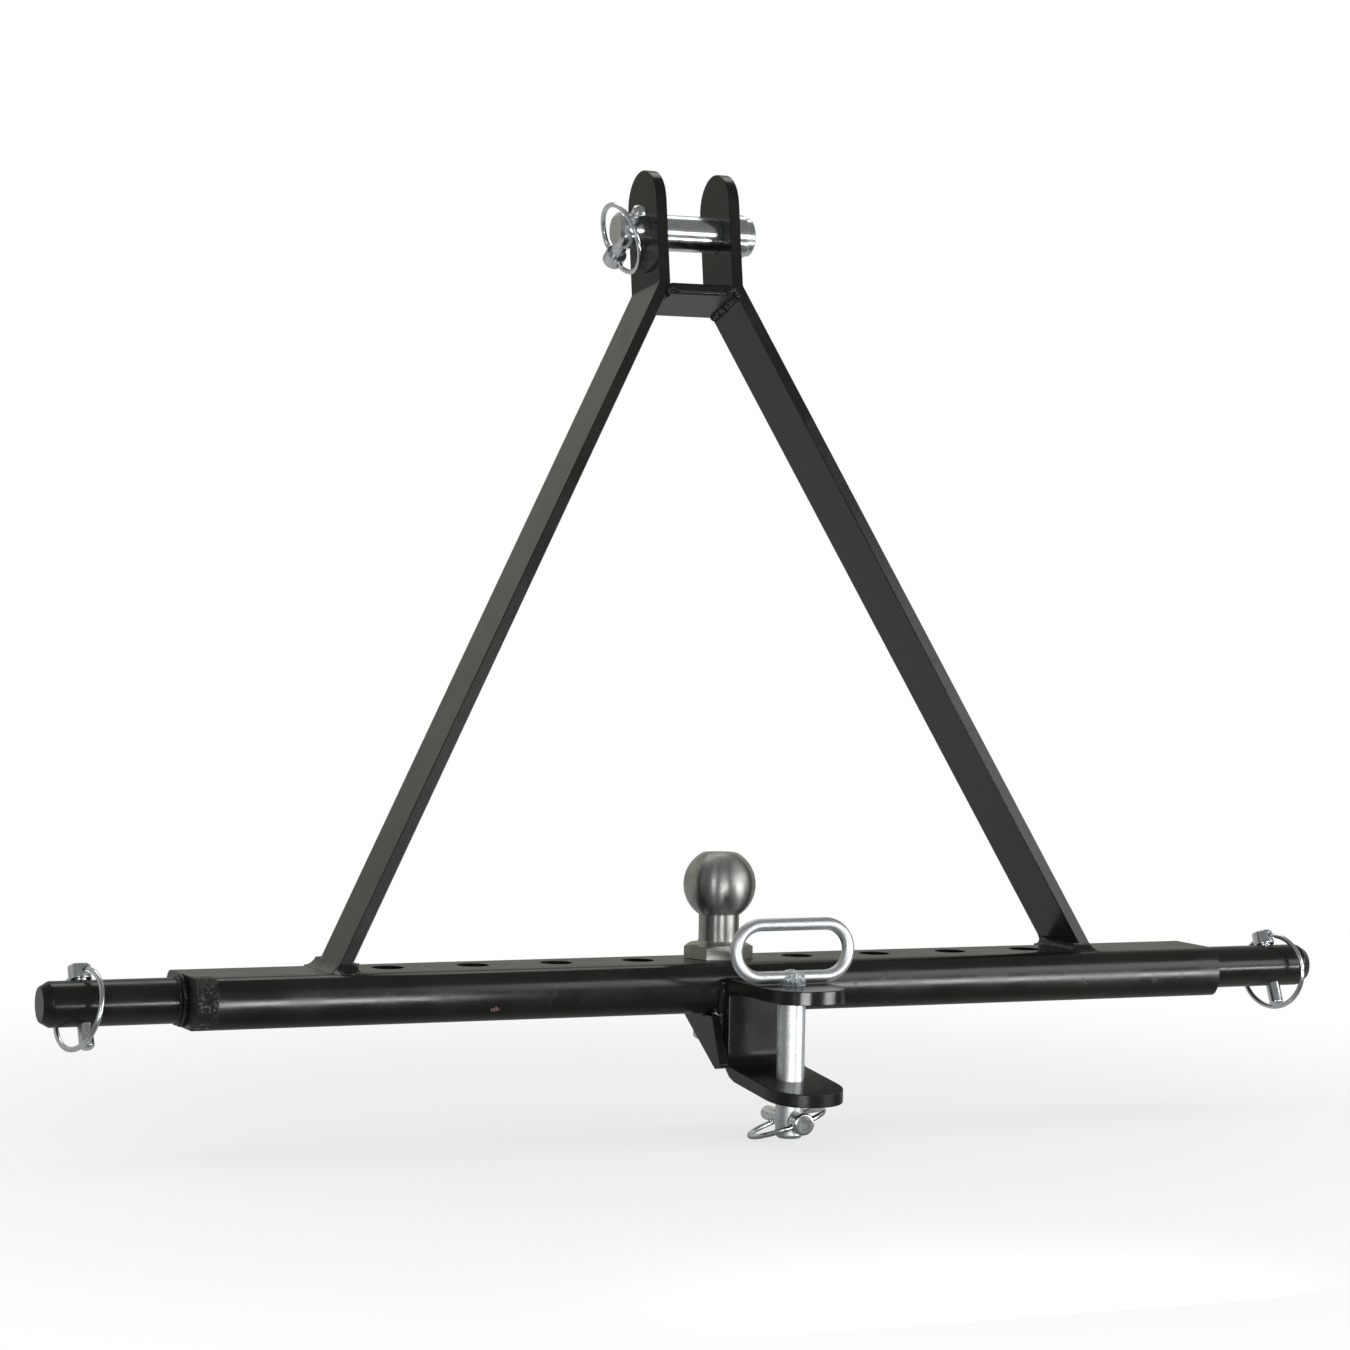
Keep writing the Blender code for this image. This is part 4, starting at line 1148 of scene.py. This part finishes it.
class DRAWBAR_OT_linchpins(bpy.types.Operator):
    """Make the four linchpins: drum-headed pegs and their sprung wire rings"""

    bl_idname = "drawbar.linchpins"
    bl_label = "Linchpins"
    bl_options = {"REGISTER", "UNDO"}

    def execute(self, context):
        for fit in LINCHPINS.values():
            self.add_peg(fit)
            self.add_ring(fit)
        return {"FINISHED"}

    def add_peg(self, fit):
        radius = PEG_DIAMETER / 2
        head = PEG_HEAD_DIAMETER / 2
        top = fit.length
        under = top - PEG_HEAD_HEIGHT
        profile = rounded(
            (0.0, top, 0.0),
            (head, top, 0.0016),
            (head, under, 0.0009),
            (radius, under, 0.0),
            (radius, 0.0018, 0.001),
            (radius - 0.0018, 0.0, 0.0008),
            (0.0, 0.0, 0.0),
        )
        foot = fit.hinge + (PEG_HEAD_HEIGHT / 2 - fit.length) * fit.head_way
        place = standing(foot, fit.head_way, fit.hinge_way)
        eye_place = standing(fit.hinge, fit.hinge_way, fit.head_way)
        eye = cylinder("eye", WIRE_DIAMETER + 2 * EYE_CLEARANCE, 2 * PEG_HEAD_DIAMETER, eye_place)
        mesh = cut(turned(f"{fit.name}_peg", profile, place, PEG_STEPS), eye)
        node = f"{fit.name}_linch_peg"
        piece = add_piece(f"{node}_plated", mesh, fit.body, "bright_zinc", (node,))
        soften(piece, PIN_EDGE)

    def add_ring(self, fit):
        path, drop = self.ring_path(fit.ring_radius)
        outward = fit.hinge_way.cross(fit.head_way)
        lean = math.asin((PEG_DIAMETER / 2 + WIRE_DIAMETER / 2 + GAP) / drop)
        to_bow = math.sin(lean) * outward - math.cos(lean) * fit.head_way
        place = standing(fit.hinge, fit.hinge_way.cross(-to_bow), fit.hinge_way)
        node = f"{fit.name}_linch_ring"
        mesh = tube(node, path, WIRE_DIAMETER, place, sides=5)
        add_piece(f"{node}_plated", mesh, f"{fit.name}_ring", "bright_zinc", (node,))

    @staticmethod
    def ring_path(radius):
        """Open ring below its hinge line: straight ends, round shoulders and one large bow."""
        shoulder = RING_SHOULDER_RADIUS
        drop = shoulder + math.sqrt((radius - shoulder) ** 2 - RING_STRAIGHT**2)
        meet = math.atan2(drop - shoulder, RING_STRAIGHT)
        side = [(RING_END_GAP / 2, 0.0), (RING_STRAIGHT, 0.0)]
        for angle in spread(math.pi / 2, meet, RING_SHOULDER_STEPS)[1:]:
            along = RING_STRAIGHT + shoulder * math.cos(angle)
            side.append((along, shoulder * (math.sin(angle) - 1)))
        for angle in spread(meet, -math.pi / 2, RING_BOW_STEPS)[1:]:
            side.append((radius * math.cos(angle), radius * math.sin(angle) - drop))
        other = [(-x, y) for x, y in reversed(side[:-1])]
        return side + other, drop + radius


class DRAWBAR_OT_weld_beads(bpy.types.Operator):
    """Lay the rippled weld beads at the pins' roots, the rails' feet, the yoke and the jaw"""

    bl_idname = "drawbar.weld_beads"
    bl_label = "Weld beads"
    bl_options = {"REGISTER", "UNDO"}

    def execute(self, context):
        self.pin_beads()
        self.foot_beads()
        self.yoke_beads()
        self.jaw_beads()
        return {"FINISHED"}

    def pin_beads(self):
        for side, name in ((-1, "left"), (1, "right")):
            low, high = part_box(f"{name}_pin_weld")
            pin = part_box(f"{name}_link_pin")
            radius = (pin[1].z - pin[0].z) / 2
            root = low.x if side > 0 else high.x
            bead = (high.z - low.z) / 2 - radius
            replaced = (f"{name}_pin_weld",)
            for out, share, label in ((0.3, 1.05, "bead"), (1.5, 0.62, "bead_toe")):
                centre = Vector((root + side * out * bead, 0.0, 0.0))
                ring = circle_path(centre, X_AXIS, Y_AXIS, radius - 0.1 * bead)
                weld_bead(f"{name}_pin_{label}", ring, share * bead, replaced, cyclic=True)
                replaced = ()

    def foot_beads(self):
        """Smooth fillets that run out from the rails' feet onto the bar."""
        reach = 0.0055
        steps = 8
        bar_low, bar_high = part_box("cross_bar")

        def surface(y):
            """Height of the bar's top at y, which falls away towards its rounded front."""
            inward = min(1.0, max(0.0, (y - bar_low.y) / BAR_EDGE_DEPTH))
            return bar_high.z * (1 - (1 - inward) ** BAR_EDGE_POWER) ** (1 / BAR_EDGE_POWER)

        for side, name in ((-1, "left"), (1, "right")):
            rail = frame["nodes"][f"{name}_side_rail"].data
            bottom = min(vert.co.z for vert in rail.vertices)
            foot = [vert.co.xy for vert in rail.vertices if vert.co.z < bottom + 0.0005]
            low = Vector((min(co.x for co in foot), min(co.y for co in foot)))
            high = Vector((max(co.x for co in foot), max(co.y for co in foot)))
            climb = Vector(
                (-side * math.tan(RAIL_SPLAY) / math.cos(FRAME_LEAN), math.tan(FRAME_LEAN))
            )
            inner = self.foot_outline(low, high, GAP)
            outer = self.foot_outline(low, high, reach)
            rings = []
            for step in range(-1, steps + 1):
                angle = math.pi / 2 * max(step, 0) / steps
                ring = []
                for near, toe in zip(inner, outer):
                    lump = 1 + 0.22 * noise.noise(Vector((*toe, side)) * 95.0)
                    rise = lump * reach * (1 - math.cos(angle))
                    spot = near.lerp(toe, lump * (1 - math.sin(angle)))
                    height = surface(spot.y) + rise - (0.0016 if step < 0 else -0.0001)
                    spot += climb * rise
                    ring.append((spot.x, spot.y, height))
                rings.append(ring)
            bead = f"{name}_foot_bead"
            replaced = (f"{name}_foot_weld",)
            add_piece(bead, loft(bead, rings), "frame", "painted_weld", replaced)

    @staticmethod
    def foot_outline(low, high, out):
        """Outline round a rail's foot at a distance from it, with points along its sides."""
        sides = (4, 20, 4, 20)
        left, right = low.x - out, high.x + out
        front, rear = low.y - out, high.y + out
        corners = ((left, front), (right, front), (right, rear), (left, rear))
        bends = rounded(*((x, y, 0.0012 + 0.8 * out) for x, y in corners), closed=True)
        count = FILLET_STEPS + 1
        outline = []
        for corner, parts in enumerate(sides):
            outline += bends[corner * count : (corner + 1) * count]
            last = outline[-1]
            after = bends[(corner + 1) * count % len(bends)]
            outline += [last.lerp(after, share) for share in spread(0.0, 1.0, parts)[1:-1]]
        return outline

    def yoke_beads(self):
        """Beads under the crosspiece's ends, with lumps up round its front corners."""
        front = -FLAT_WIDTH / 2
        under = BEND_HEIGHT + GAP - FLAT_THICKNESS
        for side, name in ((-1, "left"), (1, "right")):
            line = []
            for share in spread(0.0, 1.0, 11):
                along = under - share * PLATE_DROP + 0.0004
                x = side * (rail_inner_face(along) + 0.0004)
                line.append(on_frame(x, front + 0.001 + share * (FLAT_WIDTH - 0.004), along))
            lumps = [
                on_frame(side * (EAR_INNER - 0.0052), front + 0.0006, BEND_HEIGHT - 0.0060),
                on_frame(side * (EAR_INNER - 0.0012), front - 0.0004, BEND_HEIGHT - 0.0030),
                on_frame(side * (EAR_INNER + 0.0012), front - 0.0006, BEND_HEIGHT - 0.0048),
                on_frame(side * (EAR_INNER + 0.0030), front - 0.0004, BEND_HEIGHT - 0.0085),
            ]
            replaced = (f"{name}_crosspiece_weld",)
            weld_bead(f"{name}_yoke_bead", line, 0.0034, replaced, 1.4)
            weld_bead(f"{name}_yoke_lumps", lumps, 0.0023, uneven=4.0)

    def jaw_beads(self):
        """Beads that join the jaw to the bar's front and the gussets to jaw and bar."""
        jaw_low, jaw_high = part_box("clevis_jaw")
        bar_low, bar_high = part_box("cross_bar")
        top = jaw_high.z - 0.003
        bottom = bar_low.z + 0.001
        for out, x, name in ((-1, jaw_low.x, "left"), (1, jaw_high.x, "right")):
            line = []
            for z in spread(top, bottom, 12):
                curve = 1 - (abs(z) / bar_high.z) ** BAR_EDGE_POWER
                fall = BAR_EDGE_DEPTH * (1 - max(curve, 0.0) ** (1 / BAR_EDGE_POWER))
                line.append(Vector((x + out * 0.0004, bar_low.y + 0.5 * fall - 0.0006, z)))
            weld_bead(f"jaw_{name}_bead", line, 0.0029, uneven=1.5)
        for name in ("left", "right"):
            low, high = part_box(f"{name}_gusset")
            x = low.x if name == "left" else high.x
            start = Vector((x, high.y - 0.002, high.z))
            end = Vector((x, bar_low.y + 0.012, high.z))
            line = [start.lerp(end, share) for share in spread(0.0, 1.0, 10)]
            weld_bead(f"{name}_gusset_bead", line, 0.0019)


class DRAWBAR_OT_studio(bpy.types.Operator):
    """Make the floor, the lights and the camera"""

    bl_idname = "drawbar.studio"
    bl_label = "Studio"
    bl_options = {"REGISTER", "UNDO"}

    camera_place: FloatVectorProperty(
        name="Camera place",
        description="Where the photograph was taken from",
        subtype="TRANSLATION",
        unit="LENGTH",
        default=(-1.0909, -2.3458, 0.2906),
    )
    camera_yaw: angle_setting(
        "Camera yaw", "Turn of the view from +Y towards +X", math.radians(24.2)
    )
    camera_pitch: angle_setting(
        "Camera pitch", "Fall of the view below the horizon", math.radians(1.73)
    )
    camera_roll: angle_setting(
        "Camera roll", "Turn of the camera about its own view", math.radians(1.05)
    )

    def execute(self, context):
        settings = context.scene.drawbar_studio
        self.add_camera(context.scene, settings)
        self.add_floor(settings)
        self.add_sky(context.scene, settings)
        right, left, top = settings.right_power, settings.left_power, settings.top_power
        for light in (
            *self.front_strips(settings.front_power),
            ("Right light", right, (2.0, 0.56), (1.25, -1.22, 0.48), (0.17, -0.18, 0.48)),
            ("Left light", left, (0.3, 0.7), (-1.09, -1.17, 0.25), (0, 0, 0.1)),
            ("Top light", top, (2.0, 1.0), (0.2, 1.2, 2.4), (0, 0, 0.2)),
        ):
            self.add_light(*light)
        context.scene.view_settings.view_transform = "Standard"
        return {"FINISHED"}

    @staticmethod
    def front_strips(power):
        """Two long low lights, with a gap between them that leaves the jaw's back dark."""
        ends = {"Front left light": (-0.26, 0.02), "Front right light": (0.37, 1.10)}
        for name, (low, high) in ends.items():
            length = high - low
            middle = (low + high) / 2
            place = (middle, -0.66, -0.067)
            yield name, power * length / 1.25, (length, 0.08), place, (middle, 0.0, -0.04)

    def add_camera(self, scene, settings):
        data = bpy.data.cameras.new("Camera")
        data.sensor_width = 36.0
        data.lens = settings.focal_length
        data.clip_start = 0.05
        data.clip_end = 60.0
        camera = bpy.data.objects.new("Camera", data)
        turn = Matrix.Rotation(-self.camera_yaw, 4, "Z")
        tilt = Matrix.Rotation(math.pi / 2 - self.camera_pitch, 4, "X")
        roll = Matrix.Rotation(self.camera_roll, 4, "Z")
        camera.matrix_world = Matrix.Translation(self.camera_place) @ turn @ tilt @ roll
        scene.collection.objects.link(camera)
        scene.camera = camera

    def add_floor(self, settings):
        shape = bmesh.new()
        bmesh.ops.create_grid(shape, x_segments=1, y_segments=1, size=30.0)
        shape.transform(Matrix.Translation((0.0, 0.0, CAD_BOX[0].z - 0.0005)))
        floor = bpy.data.objects.new("Floor", mesh_from(shape, "Floor"))
        floor.data.materials.append(self.backdrop_material(tuple(settings.floor_colour)))
        bpy.context.scene.collection.objects.link(floor)

    @staticmethod
    def backdrop_material(colour):
        """Pale floor: white for the camera away from the object, and a painted reflection for the
        metals.
        """
        finish = Finish("Floor", colour, 0.9)
        finish.shader.inputs["Specular IOR Level"].default_value = 0.1
        camera, shiny = finish.rays()
        y = finish.parts(finish.place)["Y"]
        distance = finish.node("ShaderNodeVectorMath", {0: finish.place}, operation="LENGTH")
        white = finish.span(distance.outputs["Value"], 0.3, 0.9, 0.72, 1.0)
        # Painted reflection: for mirrored rays only, the floor glows dim in front of the object and
        # brighter under and behind it.
        near = finish.span(y, -0.11, -0.01, 0.11, 0.33)
        painted_reflection_glow = finish.add(near, finish.span(y, 0.25, 0.6, 0.0, 0.05))
        strength = finish.add(camera, finish.times(shiny, painted_reflection_glow))
        glow = finish.node("ShaderNodeEmission", {"Color": WHITE, "Strength": strength})
        inputs = {
            "Fac": finish.add(shiny, finish.times(camera, white)),
            1: finish.shader.outputs["BSDF"],
            2: glow.outputs["Emission"],
        }
        mix = finish.node("ShaderNodeMixShader", inputs)
        output = finish.tree.nodes["Material Output"]
        finish.feed(output.inputs["Surface"], mix.outputs["Shader"])
        return finish.material

    @staticmethod
    def add_sky(scene, settings):
        """White for the camera, a soft grey room for the metals, and an even fill for the rest."""
        world = bpy.data.worlds.new("Studio")
        scene.world = world
        world.use_nodes = True
        world.node_tree.nodes.clear()
        sky = Nodes(world.node_tree)
        way = sky.parts(sky.node("ShaderNodeTexCoord").outputs["Generated"])
        rise = way["Z"]
        high_up = sky.span(rise, 0.4, 0.9, 1.0, 0.4)
        behind = sky.times(sky.span(rise, 0.0, 0.30, 0.20, 0.44), high_up)
        before = sky.span(rise, -0.1, 0.7, 0.20, 0.16)
        room = sky.span(way["Y"], -0.25, 0.35, before, behind)
        camera, shiny = sky.rays()
        rest = sky.math("SUBTRACT", sky.math("SUBTRACT", 1.0, camera), shiny)
        seen = sky.add(camera, sky.times(shiny, room))
        warm = sky.times(shiny, sky.span(way["Y"], 0.0, 0.4))
        inputs = {
            "Color": sky.mix(warm, WHITE[:3], (1.0, 0.985, 0.88)),
            "Strength": sky.add(seen, sky.times(rest, settings.sky_strength)),
        }
        backdrop = sky.node("ShaderNodeBackground", inputs)
        sky.node("ShaderNodeOutputWorld", {"Surface": backdrop.outputs["Background"]})

    @staticmethod
    def add_light(name, power, size, place, aim):
        data = bpy.data.lights.new(name, "AREA")
        data.shape = "RECTANGLE"
        data.size = size[0]
        data.size_y = size[1]
        data.energy = power
        light = bpy.data.objects.new(name, data)
        light.location = place
        light.rotation_euler = (Vector(aim) - Vector(place)).to_track_quat("-Z", "Y").to_euler()
        light.visible_camera = False
        bpy.context.scene.collection.objects.link(light)


class DRAWBAR_PT_panel(bpy.types.Panel):
    """Lists the drawbar's pieces and settings in the 3D view's sidebar"""

    bl_idname = "DRAWBAR_PT_panel"
    bl_label = "Tractor drawbar"
    bl_space_type = "VIEW_3D"
    bl_region_type = "UI"
    bl_category = "Drawbar"

    def draw(self, context):
        layout = self.layout
        for operator in OPERATORS:
            layout.operator(operator.bl_idname)
        for group in SETTINGS:
            box = layout.box()
            settings = getattr(context.scene, group)
            for name in settings.bl_rna.properties.keys():
                if name not in ("rna_type", "name"):
                    box.prop(settings, name)


SETTINGS = {
    "drawbar_paint": DrawbarPaintSettings,
    "drawbar_metal": DrawbarMetalSettings,
    "drawbar_weld": DrawbarWeldSettings,
    "drawbar_studio": DrawbarStudioSettings,
}
OPERATORS = (
    DRAWBAR_OT_studio,
    DRAWBAR_OT_cross_bar,
    DRAWBAR_OT_a_frame,
    DRAWBAR_OT_jaw,
    DRAWBAR_OT_link_pins,
    DRAWBAR_OT_top_pin,
    DRAWBAR_OT_tow_ball,
    DRAWBAR_OT_ball_fasteners,
    DRAWBAR_OT_drop_pin,
    DRAWBAR_OT_linchpins,
    DRAWBAR_OT_weld_beads,
)


def register():
    for group in SETTINGS.values():
        bpy.utils.register_class(group)
    for operator in OPERATORS:
        bpy.utils.register_class(operator)
    bpy.utils.register_class(DRAWBAR_PT_panel)
    for name, group in SETTINGS.items():
        setattr(bpy.types.Scene, name, PointerProperty(type=group))


def unregister():
    for name in SETTINGS:
        delattr(bpy.types.Scene, name)
    bpy.utils.unregister_class(DRAWBAR_PT_panel)
    for operator in reversed(OPERATORS):
        bpy.utils.unregister_class(operator)
    for group in reversed(SETTINGS.values()):
        bpy.utils.unregister_class(group)


def main():
    register()
    for operator in OPERATORS:
        group, name = operator.bl_idname.split(".")
        getattr(getattr(bpy.ops, group), name)()


if __name__ == "__main__":
    main()
